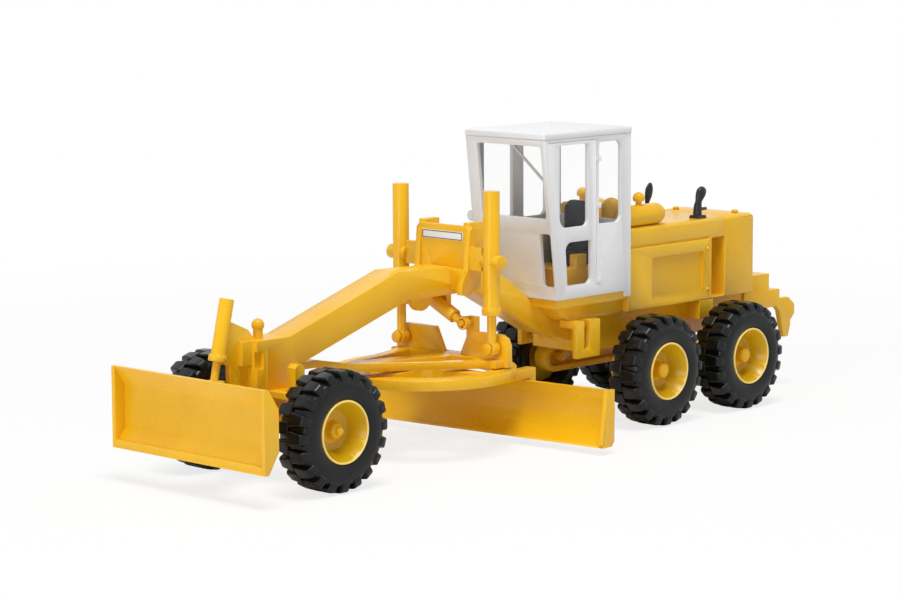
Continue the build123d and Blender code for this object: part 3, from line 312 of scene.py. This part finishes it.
blackValues = {
    "colour": (0.012, 0.012, 0.013), "deepColour": (0.02, 0.02, 0.021), "edgeHighlightColour": (0.05, 0.05, 0.05),
    "edgeHighlightShare": 0.3, "roughness": (0.2, 0.34), "grainSize": 0.25, "waveSize": 2.5, "relief": 0.008,
    "sheen": 0.3,
}
# painted shade: the wiper is white plastic, coloured grey for the shade on the leaning cab front
shadedWhiteValues = {
    "colour": (0.5, 0.51, 0.52), "deepColour": (0.44, 0.45, 0.46), "roughness": (0.3, 0.45),
    "grainSize": 0.2, "waveSize": 3.0, "relief": 0.004, "sheen": 0.4,
}


def clearPlastic(name, values):
    # thin clear panes: see-through face on, less so where they are seen edge on
    material = bpy.data.materials.new(name)
    material.use_nodes = True
    tree = material.node_tree
    shader = tree.nodes["Principled BSDF"]
    skin = placeGroup(tree, mouldSkin, Grain_Size=values["grainSize"], Wave_Size=values["waveSize"])
    tint = mixColour(tree, skin.outputs["Depth"], values["colour"], values["deepColour"])
    tree.links.new(tint, shader.inputs["Base Color"])
    haze = mathNode(tree, "MULTIPLY", skin.outputs["Dull"], values["haze"])
    tree.links.new(haze, shader.inputs["Roughness"])
    slant = tree.nodes.new("ShaderNodeLayerWeight")
    slant.inputs["Blend"].default_value = values["slant"]
    edgeOn = mathNode(tree, "MULTIPLY", slant.outputs["Facing"], values["rimShare"])
    tree.links.new(mathNode(tree, "ADD", edgeOn, values["share"]), shader.inputs["Alpha"])
    shader.inputs["IOR"].default_value = clearIor
    bump = tree.nodes.new("ShaderNodeBump")
    bump.inputs["Distance"].default_value = values["relief"] * mm
    tree.links.new(skin.outputs["Height"], bump.inputs["Height"])
    tree.links.new(bump.outputs["Normal"], shader.inputs["Normal"])
    return material


paneValues = {
    "colour": (0.9, 0.92, 0.92), "deepColour": (0.84, 0.87, 0.87), "haze": 0.1, "share": 0.004,
    "rimShare": 0.06, "slant": 0.35, "grainSize": 1.5, "waveSize": 9.0, "relief": 0.01,
}
lensValues = {
    "colour": (0.72, 0.78, 0.76), "deepColour": (0.6, 0.67, 0.65), "haze": 0.2, "share": 0.4,
    "rimShare": 0.5, "slant": 0.35, "grainSize": 0.8, "waveSize": 1.5, "relief": 0.02,
}

look = {
    "yellow_plastic": plastic("yellowMoulding", yellowValues),
    "white_plastic": plastic("whiteMoulding", whiteValues),
    "tyre_rubber": plastic("softTyreVinyl", tyreValues),
    "seat_grey": plastic("seatMoulding", seatValues),
    "black_plastic": plastic("blackMoulding", blackValues),
    "clear_plastic": clearPlastic("clearPane", paneValues),
}
shadedWhiteTrim = plastic("whiteTrimPaintedShade", shadedWhiteValues)
shadedRimPlastic = plastic("rimMouldingPaintedShade", rimShadeValues)
paintedHighlightLip = plastic("paintedHighlightLip", lipHighlightValues)
clearLens = clearPlastic("clearLens", lensValues)
for name, node in nodes.items():
    node.data.materials.clear()
    node.data.materials.append(look[slotOf[name]])
print("finishes made")


# Mesh helpers
samePlace = 1e-7              # metres


def addPiece(name, mesh, body, slotName, material=None, *standsFor):
    piece = bpy.data.objects.new(name, mesh)
    bpy.context.collection.objects.link(piece)
    mesh.materials.clear()
    mesh.materials.append(material or look[slotName])
    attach(piece, body)
    if standsFor:
        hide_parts(*standsFor)
    return piece


def meshFrom(shape, name):
    bmesh.ops.recalc_face_normals(shape, faces=shape.faces)
    for face in shape.faces:
        face.smooth = True
    mesh = bpy.data.meshes.new(name)
    shape.to_mesh(mesh)
    shape.free()
    return mesh


def applyModifiers(piece):
    bpy.context.view_layer.update()
    depsgraph = bpy.context.evaluated_depsgraph_get()
    finished = bpy.data.meshes.new_from_object(piece.evaluated_get(depsgraph), depsgraph=depsgraph)
    piece.modifiers.clear()
    old = piece.data
    piece.data = finished
    bpy.data.meshes.remove(old)


def roundEdges(piece, width, segments=2, angle=32):
    bevel = piece.modifiers.new("moulded edges", "BEVEL")
    bevel.width = width * mm
    bevel.segments = segments
    bevel.limit_method = "ANGLE"
    bevel.angle_limit = math.radians(angle)
    bevel.miter_outer = "MITER_ARC"
    bevel.harden_normals = True
    bevel.use_clamp_overlap = True


def closedPart(shape, rings):
    # faces between neighbouring rings of the same count
    count = len(rings[0])
    for first, second in zip(rings, rings[1:]):
        for k in range(count):
            corners = (first[k], first[(k + 1) % count], second[(k + 1) % count], second[k])
            shape.faces.new(corners)


def cappedPart(shape, rings):
    closedPart(shape, rings)
    shape.faces.new(rings[0])
    shape.faces.new(rings[-1])


def weld(shape):
    # joins the corners that a lathe leaves in one place on its axis
    bmesh.ops.remove_doubles(shape, verts=shape.verts, dist=samePlace)


def lathe(shape, profile, centre, axis, sides, closed=True):
    # profile rows are radius and place along the axis, in mm; a closed one runs round in a loop
    rings = []
    for radius, along in profile:
        ring = []
        for k in range(sides):
            angle = 2 * math.pi * k / sides
            across, up = radius * math.cos(angle), radius * math.sin(angle)
            spot = {"y": (across, along, up), "x": (along, across, up), "z": (across, up, along)}[axis]
            ring.append(shape.verts.new(centre + Vector(spot) * mm))
        rings.append(ring)
    if closed:
        rings.append(rings[0])
    closedPart(shape, rings)


# Moulded pieces: the CAD's own shapes with the small radii of a real moulding
roundingValues = {
    "usual": 0.14,          # mm
    "number_plate": 0.04,
    "plough_blade": 0.16,
    "main_blade": 0.16,
    "hood": 0.2,
    "radiator_housing": 0.25,
    "cab_side_left": 0.16,
    "cab_side_right": 0.16,
    "cab_roof": 0.22,
    "tie_rod": 0.08,
    "seat": 0.3,
    "steering_console": 0.1,
}
mouldedMesh = {
    "weld": 2e-6,             # metres between corners that are one
    "sliver": 1e-6,           # metres under which an edge is a sliver
    "flat": 1.5,              # degrees under which two faces are one
}
keptElsewhere = ("tyre", "rim", "stacks", "cab_windows")     # starts of the names that are left out here


def mouldedCopy(name, width, values):
    shape = bmesh.new()
    shape.from_mesh(nodes[name].data)
    bmesh.ops.remove_doubles(shape, verts=shape.verts, dist=values["weld"])
    bmesh.ops.dissolve_degenerate(shape, edges=shape.edges, dist=values["sliver"])
    flat = math.radians(values["flat"])
    bmesh.ops.dissolve_limit(shape, angle_limit=flat, verts=shape.verts, edges=shape.edges)
    body = body_of(nodes[name])[0]
    piece = addPiece(name + "_moulded", meshFrom(shape, name), body, slotOf[name], None, name)
    roundEdges(piece, width)
    applyModifiers(piece)


for name in sorted(nodes):
    if not name.startswith(keptElsewhere):
        mouldedCopy(name, roundingValues.get(name, roundingValues["usual"]), mouldedMesh)
print("moulded pieces rounded")


# Tyres
tyreShape = {
    "lugs": 20,               # on each side, staggered
    "lugFoot": 0.13,          # mm that a lug's foot stands out beyond its top
    "sides": 120,
    "bore": ((4.045, -1.5), (4.045, 1.5)),     # radius, place across
    "body": (                 # place across, radius
        (2.2, 4.045), (2.4, 4.1), (2.46, 4.3), (2.5, 4.5), (2.56, 5.0), (2.56, 5.5), (2.5, 6.0), (2.38, 6.45),
        (2.2, 6.74), (1.9, 6.88), (1.4, 7.0), (0.9, 7.12), (0.4, 7.24),
    ),
    "lug": (                  # top: place across, radius, half width; foot: place across, radius
        (0.03, 7.73, 0.92, 0.03, 6.9), (0.6, 7.73, 0.88, 0.6, 6.9), (1.15, 7.72, 0.79, 1.15, 6.85),
        (1.7, 7.69, 0.71, 1.6, 6.75), (2.15, 7.6, 0.66, 1.9, 6.65), (2.42, 7.26, 0.6, 2.1, 6.5),
        (2.52, 6.8, 0.54, 2.2, 6.3), (2.55, 6.3, 0.5, 2.25, 6.1),
    ),
    "rounding": (0.2, 3, 30),     # mm, steps, and degrees from which an edge is rounded
}


def tyreMesh(name, side, values):
    shape = bmesh.new()
    outer = [(r, y) for y, r in values["body"]]
    profile = outer + [(r, -y) for r, y in reversed(outer)] + list(values["bore"])
    lathe(shape, profile, Vector((0, 0, 0)), "y", values["sides"])
    step = 2 * math.pi / values["lugs"]
    for flank in (1, -1):
        first = 0 if flank > 0 else step / 2
        for k in range(values["lugs"]):
            middle = first + k * step
            rings = []
            for topY, topR, half, footY, footR in values["lug"]:
                foot = half + values["lugFoot"]
                corners = [(footY, footR, -foot), (topY, topR, -half)]
                corners += [(topY, topR, half), (footY, footR, foot)]
                ring = []
                for y, r, reach in corners:
                    angle = middle + reach / r
                    spot = (r * math.sin(angle), flank * y * side, -r * math.cos(angle))
                    ring.append(shape.verts.new(Vector(spot) * mm))
                rings.append(ring)
            cappedPart(shape, rings)
    return meshFrom(shape, name)


# Rims
rimShape = {
    "sides": 96,
    "rear": (                 # the hub knob: radius, place along the axle in mm
        (0.0, 1.69), (0.45, 1.675), (0.75, 1.61), (0.95, 1.47), (1.05, 1.25), (1.07, 0.95), (1.07, 0.35),
        (1.13, 0.05), (1.3, -0.09), (1.6, -0.112), (1.6, -0.3), (0.0, -0.3),
    ),
    "front": (
        (0.0, 1.69), (0.3, 1.68), (0.46, 1.6), (0.52, 1.48), (0.54, 1.15), (0.66, 1.08), (0.88, 1.02),
        (1.0, 0.9), (1.04, 0.7), (1.05, 0.3), (1.12, 0.04), (1.3, -0.09), (1.6, -0.112), (1.6, -0.3),
        (0.0, -0.3),
    ),
    "dish": (
        (0.0, -0.115), (2.2, -0.115), (2.42, -0.09), (2.56, 0.0), (2.66, 0.16), (3.0, 0.86), (3.05, 0.98),
        (3.62, 2.2), (3.7, 2.36), (3.76, 2.44), (3.84, 2.48), (3.95, 2.485), (4.01, 2.45), (4.035, 2.38),
    ),
    "back": (
        (4.035, -0.93), (3.95, -1.01), (1.32, -1.015), (1.28, -1.24), (1.2, -1.31), (0.76, -1.31),
        (0.76, 0.88), (0.0, 0.88),
    ),
    "lip": (3.87, 2.41, 0.13, 14),       # bead's radius from the axle, place, own radius, steps round it
    "crispLip": 50,           # degrees from which the shading parts at an edge
    "crispFoot": 60,
}


def turnedMesh(name, side, rows, values):
    # rows are radius and place along the axle
    shape = bmesh.new()
    profile = [(r, side * y) for r, y in rows]
    lathe(shape, profile, Vector((0, 0, 0)), "y", values["sides"], closed=False)
    weld(shape)
    return meshFrom(shape, name)


def lipMesh(name, side, values):
    # the rounded bead that stands round a dish's rim
    radius, along, bead, steps = values["lip"]
    turns = [2 * math.pi * k / steps for k in range(steps)]
    profile = [(radius + bead * math.cos(turn), side * (along + bead * math.sin(turn))) for turn in turns]
    shape = bmesh.new()
    lathe(shape, profile, Vector((0, 0, 0)), "y", values["sides"])
    return meshFrom(shape, name)


def crispEdges(piece, angle):
    split = piece.modifiers.new("crisp edges", "EDGE_SPLIT")
    split.split_angle = math.radians(angle)
    applyModifiers(piece)


def makeWheel(end, side, knob):
    body = "wheel_" + end
    tyreNode, rimNode = "tyre_" + end, "rim_" + end
    place = Matrix.Translation(centreOf(tyreNode))
    mesh = tyreMesh(tyreNode, side, tyreShape)
    mesh.transform(place)
    tyre = addPiece(tyreNode + "_lugged", mesh, body, "tyre_rubber", None, tyreNode)
    roundEdges(tyre, *tyreShape["rounding"])
    applyModifiers(tyre)
    mesh = turnedMesh(rimNode, side, rimShape["dish"] + rimShape["back"], rimShape)
    mesh.transform(place)
    # the dish gets the darker yellow of painted shade
    rim = addPiece(rimNode + "_dished", mesh, body, "yellow_plastic", shadedRimPlastic, rimNode)
    crispEdges(rim, rimShape["crispLip"])
    mesh = lipMesh(rimNode + "_lip", side, rimShape)
    mesh.transform(place)
    # painted highlight on the bead
    addPiece(rimNode + "_lip", mesh, body, "yellow_plastic", paintedHighlightLip)
    mesh = turnedMesh(rimNode + "_knob", side, knob, rimShape)
    mesh.transform(place)
    knobPiece = addPiece(rimNode + "_knob", mesh, body, "yellow_plastic")
    crispEdges(knobPiece, rimShape["crispFoot"])


for axle in ("front", "middle", "rear"):
    for sideName, side in (("left", 1), ("right", -1)):
        makeWheel(axle + "_" + sideName, side, rimShape["front" if axle == "front" else "rear"])
print("wheels made")


# Exhaust stacks
stackShape = {
    "x": -79.0,
    "base": 27.1,
    "slab": (0.95, 0.85, 0.45),   # the foot's half sizes and height
    "slabTop": 0.9,           # size of its top against its bottom
    "near": {                 # the machine's left
        "y": 5.2,
        "rows": (             # height, shift along x, half width along x, half width along y
            (27.5, 0.1, 0.66, 0.64), (28.3, 0.05, 0.64, 0.6), (29.0, 0.0, 0.6, 0.54),
            (29.45, -0.15, 0.52, 0.46), (29.8, -0.35, 0.66, 0.52), (30.3, -0.6, 0.86, 0.62),
            (30.8, -0.75, 0.92, 0.62), (31.2, -0.8, 0.8, 0.52), (31.45, -0.82, 0.52, 0.36),
            (31.58, -0.84, 0.22, 0.16),
        ),
        "stub": (28.35, 1.9),     # height and length of the pipe behind the stack
    },
    "far": {
        "y": -4.0,
        "rows": (
            (27.5, 0.5, 0.3, 0.3), (28.1, 0.45, 0.28, 0.26), (28.6, 0.3, 0.34, 0.26),
            (29.1, 0.15, 0.55, 0.28), (29.6, 0.0, 0.74, 0.3), (30.2, -0.1, 0.84, 0.3),
            (30.8, -0.2, 0.78, 0.28), (31.2, -0.3, 0.56, 0.24), (31.48, -0.36, 0.32, 0.18),
            (31.58, -0.4, 0.14, 0.1),
        ),
        "stub": (28.1, 1.3),
    },
    "stubRadius": 0.24,
    "stubTip": (0.16, 0.1),   # radius at its end, length of its taper
    "sides": 28,
    "stubSides": 16,
    "rounding": (0.08, 2, 40),
}


def stackPart(shape, values, one):
    rings = []
    for height, shift, wide, deep in one["rows"]:
        ring = []
        for k in range(values["sides"]):
            angle = 2 * math.pi * k / values["sides"]
            spot = at(values["x"] + shift + wide * math.cos(angle), one["y"] + deep * math.sin(angle), height)
            ring.append(shape.verts.new(spot))
        rings.append(ring)
    cappedPart(shape, rings)
    wide, deep, high = values["slab"]
    low, top = values["base"], values["base"] + high
    corners = ((-1, -1), (1, -1), (1, 1), (-1, 1))
    rings = []
    for height, share in ((low, 1.0), (top, values["slabTop"])):
        places = [at(values["x"] + a * wide * share, one["y"] + b * deep * share, height) for a, b in corners]
        rings.append([shape.verts.new(place) for place in places])
    cappedPart(shape, rings)
    height, length = one["stub"]
    radius = values["stubRadius"]
    tip, taper = values["stubTip"]
    profile = ((0.0, 0.0), (radius, 0.0), (radius, taper - length), (tip, -length), (0.0, -length))
    lathe(shape, profile, at(values["x"], one["y"], height), "x", values["stubSides"], closed=False)


shape = bmesh.new()
stackPart(shape, stackShape, stackShape["near"])
stackPart(shape, stackShape, stackShape["far"])
weld(shape)
stacks = addPiece("stacks_leaf", meshFrom(shape, "stacksLeaf"), "frame", "black_plastic", None, "stacks")
roundEdges(stacks, *stackShape["rounding"])
applyModifiers(stacks)
print("stacks made")


# Small trim
trimRounding = {"steps": 2, "angle": 40}      # degrees


def slab(shape, centre, halves, turn=None):
    # eight corners about a centre, in mm, turned if a matrix is given; trimPiece rounds its edges
    turn = turn or Matrix.Identity(3)
    corners = ((-1, -1), (1, -1), (1, 1), (-1, 1))
    rings = []
    for up in (-1, 1):
        places = [Vector((a * halves[0], b * halves[1], up * halves[2])) for a, b in corners]
        rings.append([shape.verts.new(at(*(Vector(centre) + turn @ place))) for place in places])
    cappedPart(shape, rings)


def trimPiece(name, shape, slotName, material, width, body="frame"):
    piece = addPiece(name, meshFrom(shape, name), body, slotName, material)
    roundEdges(piece, width, trimRounding["steps"], trimRounding["angle"])
    applyModifiers(piece)


cabFront = {"low": (-46.31, 18.64), "high": (-43.74, 40.5)}     # x and z of the front panel's outer face


def frontAt(z):
    (x0, z0), (x1, z1) = cabFront["low"], cabFront["high"]
    return x0 + (x1 - x0) * (z - z0) / (z1 - z0)


wiper = {
    "top": (1.35, 39.3),      # y and z of its pivot
    "end": (6.3, 34.9),
    "half": 0.2,
    "thick": 0.1,
    "inset": 0.42,            # mm behind the front panel's outer face
    "rounding": 0.05,
    "pivot": ((0.0, 0.22), (0.2, 0.22), (0.3, 0.12), (0.3, -0.25), (0.0, -0.25)),     # radius, place along x
    "pivotSides": 24,
    "pivotRounding": 0.03,
}


def makeWiper(values):
    (y0, z0), (y1, z1) = values["top"], values["end"]
    top = Vector((frontAt(z0) - values["inset"], y0, z0))
    end = Vector((frontAt(z1) - values["inset"], y1, z1))
    along = (end - top).normalized()
    (lowX, lowZ), (highX, highZ) = cabFront["low"], cabFront["high"]
    lean = Vector((highX - lowX, 0, highZ - lowZ)).normalized()
    out = lean.cross(Vector((0, 1, 0))).normalized()
    turn = Matrix((along, out.cross(along), out)).transposed()
    shape = bmesh.new()
    slab(shape, (top + end) / 2, ((end - top).length / 2, values["half"], values["thick"]), turn)
    # painted shade: grey stands in for the white plastic in shade
    trimPiece("wiper", shape, "white_plastic", shadedWhiteTrim, values["rounding"])
    shape = bmesh.new()
    lathe(shape, values["pivot"], at(*top), "x", values["pivotSides"], closed=False)
    weld(shape)
    trimPiece("wiper_pivot", shape, "white_plastic", shadedWhiteTrim, values["pivotRounding"])


hinges = {
    "x": -55.1,
    "y": 7.25,
    "heights": (37.46, 31.0, 20.65),
    "half": 0.38,             # mm, half the length of the barrel
    "radius": 0.17,
    "endRadius": 0.136,
    "endLength": 0.05,
    "proud": 0.04,            # mm that the barrel's middle stands out
    "leaf": (0.45, 0.03, 0.0),      # the leaf's middle from the hinge's place
    "leafHalves": (0.42, 0.05, 0.304),
    "sides": 20,
    "rounding": 0.03,
}


def makeHinges(values):
    shape = bmesh.new()
    half, radius, end = values["half"], values["radius"], values["endRadius"]
    straight = half - values["endLength"]
    profile = ((0.0, -half), (end, -half), (radius, -straight), (radius, straight), (end, half), (0.0, half))
    for z in values["heights"]:
        barrel = at(values["x"], values["y"] + values["proud"], z)
        lathe(shape, profile, barrel, "z", values["sides"], closed=False)
        slab(shape, Vector((values["x"], values["y"], z)) + Vector(values["leaf"]), values["leafHalves"])
    weld(shape)
    trimPiece("door_hinges", shape, "white_plastic", None, values["rounding"])


mirror = {
    "centre": (-45.3, -7.7, 29.3),
    "radius": 0.75,
    "disc": (                 # share of the radius, place along x in mm
        (0.0, 0.2), (0.6, 0.17), (0.9, 0.09), (1.0, 0.0), (0.94, -0.12), (0.5, -0.18), (0.0, -0.2),
    ),
    "stem": (0.14, 0.5),      # radius and length
    "stemPlace": (-0.05, -0.2),     # along x from the centre, along y from the disc's edge
    "sides": 40,
    "stemSides": 16,
    "rounding": 0.02,
}


def makeMirror(values):
    shape = bmesh.new()
    radius = values["radius"]
    disc = [(share * radius, along) for share, along in values["disc"]]
    lathe(shape, disc, at(*values["centre"]), "x", values["sides"], closed=False)
    x, y, z = values["centre"]
    thick, length = values["stem"]
    alongX, alongY = values["stemPlace"]
    stem = ((0.0, 0.0), (thick, 0.0), (thick, length), (0.0, length))
    lathe(shape, stem, at(x + alongX, y + radius + alongY, z), "y", values["stemSides"], closed=False)
    weld(shape)
    trimPiece("round_mirror", shape, "clear_plastic", clearLens, values["rounding"])


latches = {
    "x": -79.6,
    "y": 6.6,
    "heights": (22.8, 16.9),
    "radius": 0.26,
    "knob": (                 # share of the radius, place across in mm
        (0.0, 0.22), (0.5, 0.2), (0.85, 0.12), (1.0, 0.0), (1.0, -0.1), (0.0, -0.1),
    ),
    "sides": 20,
    "rounding": 0.03,
}


def makeLatches(values):
    shape = bmesh.new()
    for side in (1, -1):
        knob = [(share * values["radius"], side * along) for share, along in values["knob"]]
        for z in values["heights"]:
            lathe(shape, knob, at(values["x"], side * values["y"], z), "y", values["sides"], closed=False)
    weld(shape)
    trimPiece("hood_latches", shape, "yellow_plastic", None, values["rounding"])


ploughLip = {
    "section": ((13.95, 4.4), (13.95, 5.38), (13.5, 5.38), (13.8, 4.4)),     # x and z in mm
    "inset": 0.55,            # mm between its ends and the blade's
    "rounding": 0.08,
}


def makePloughLip(values):
    # the upright lip along the plough's lower edge
    low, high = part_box("plough_blade")
    shape = bmesh.new()
    rings = []
    for y in (low.y / mm + values["inset"], high.y / mm - values["inset"]):
        rings.append([shape.verts.new(at(x, y, z)) for x, z in values["section"]])
    cappedPart(shape, rings)
    trimPiece("plough_lip", shape, "yellow_plastic", None, values["rounding"], "plough")


plateRim = {"width": 0.1, "proud": 0.03, "inset": 0.06, "rounding": 0.01}     # mm


def makePlateRim(values):
    # a thin dark line round the blank number plate
    low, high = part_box("number_plate")
    front = high.x / mm - frontAxle.x / mm
    y0, y1 = low.y / mm + values["inset"], high.y / mm - values["inset"]
    z0, z1 = low.z / mm + values["inset"], high.z / mm - values["inset"]
    half, thick = values["width"] / 2, values["proud"]
    shape = bmesh.new()
    for z in (z0 + half, z1 - half):
        slab(shape, (front, (y0 + y1) / 2, z), (thick, (y1 - y0) / 2, half))
    for y in (y0 + half, y1 - half):
        slab(shape, (front, y, (z0 + z1) / 2), (thick, half, (z1 - z0) / 2 - values["width"]))
    trimPiece("plate_rim", shape, "black_plastic", None, values["rounding"])


makeWiper(wiper)
makeHinges(hinges)
makeMirror(mirror)
makeLatches(latches)
makePloughLip(ploughLip)
makePlateRim(plateRim)
print("trim made")


# Floor, light and background
stageValues = {
    "floorHalf": 3.0,         # metres
    "floorColour": (0.93, 0.93, 0.93),
    "floorRoughness": 0.9,
    "floorSheen": 0.1,
    "paper": (0.78, 1.0),     # share of plain white to the camera: near the model, and away from it
    "paperReach": (0.07, 0.22),   # metres from the middle of the model
    "worldLight": 0.34,       # strength as a light; seen directly or reflected the world is white
    "lamps": (
        # name, place in mm, aim in mm, size in m, power in W
        ("keySoftbox", (100, 190, 740), (-45, 0, 15), 0.36, 4.2),
        ("frontFill", (650, 90, 120), (-40, 0, 15), 0.4, 1.4),
    ),
}


def addFloor(values):
    half = values["floorHalf"]
    shape = bmesh.new()
    corners = [shape.verts.new((x * half, y * half, 0)) for x, y in ((-1, -1), (1, -1), (1, 1), (-1, 1))]
    shape.faces.new(corners)
    mesh = bpy.data.meshes.new("floor")
    shape.to_mesh(mesh)
    shape.free()
    floor = bpy.data.objects.new("floor", mesh)
    bpy.context.collection.objects.link(floor)
    material = bpy.data.materials.new("whitePaper")
    material.use_nodes = True
    tree = material.node_tree
    shader = tree.nodes["Principled BSDF"]
    shader.inputs["Base Color"].default_value = (*values["floorColour"], 1)
    shader.inputs["Roughness"].default_value = values["floorRoughness"]
    shader.inputs["Specular IOR Level"].default_value = values["floorSheen"]
    glow = tree.nodes.new("ShaderNodeEmission")
    glow.inputs["Color"].default_value = (1, 1, 1, 1)
    glow.inputs["Strength"].default_value = 1     # plain white to the camera
    path = tree.nodes.new("ShaderNodeLightPath")
    blend = tree.nodes.new("ShaderNodeMixShader")
    where = tree.nodes.new("ShaderNodeTexCoord").outputs["Object"]
    distance = tree.nodes.new("ShaderNodeVectorMath")
    distance.operation = "LENGTH"
    tree.links.new(where, distance.inputs[0])
    share = tree.nodes.new("ShaderNodeMapRange")
    share.interpolation_type = "SMOOTHSTEP"
    limits = values["paperReach"] + values["paper"]
    for name, value in zip(("From Min", "From Max", "To Min", "To Max"), limits):
        share.inputs[name].default_value = value
    tree.links.new(distance.outputs["Value"], share.inputs["Value"])
    seen = mathNode(tree, "MAXIMUM", path.outputs["Is Camera Ray"], path.outputs["Is Transmission Ray"])
    tree.links.new(mathNode(tree, "MULTIPLY", seen, share.outputs["Result"]), blend.inputs[0])
    tree.links.new(shader.outputs[0], blend.inputs[1])
    tree.links.new(glow.outputs[0], blend.inputs[2])
    tree.links.new(blend.outputs[0], tree.nodes["Material Output"].inputs["Surface"])
    mesh.materials.append(material)


def addWorld(values):
    world = bpy.data.worlds.new("studio")
    bpy.context.scene.world = world
    world.use_nodes = True
    tree = world.node_tree
    background = tree.nodes["Background"]
    background.inputs["Color"].default_value = (1, 1, 1, 1)
    path = tree.nodes.new("ShaderNodeLightPath")
    seen = mathNode(tree, "MAXIMUM", path.outputs["Is Camera Ray"], path.outputs["Is Glossy Ray"])
    seen = mathNode(tree, "MAXIMUM", seen, path.outputs["Is Transmission Ray"])
    light = mathNode(tree, "MULTIPLY", seen, 1 - values["worldLight"])
    tree.links.new(mathNode(tree, "ADD", light, values["worldLight"]), background.inputs["Strength"])


def addLamp(name, place, aim, size, power):
    data = bpy.data.lights.new(name, "AREA")
    data.shape = "DISK"
    data.size = size
    data.energy = power
    lamp = bpy.data.objects.new(name, data)
    spot = at(*place)
    away = spot - at(*aim)
    lamp.matrix_world = Matrix.Translation(spot) @ away.to_track_quat("Z", "Y").to_matrix().to_4x4()
    bpy.context.collection.objects.link(lamp)


addFloor(stageValues)
addWorld(stageValues)
for row in stageValues["lamps"]:
    addLamp(*row)
bpy.context.scene.view_settings.view_transform = "Standard"
print("studio lit")
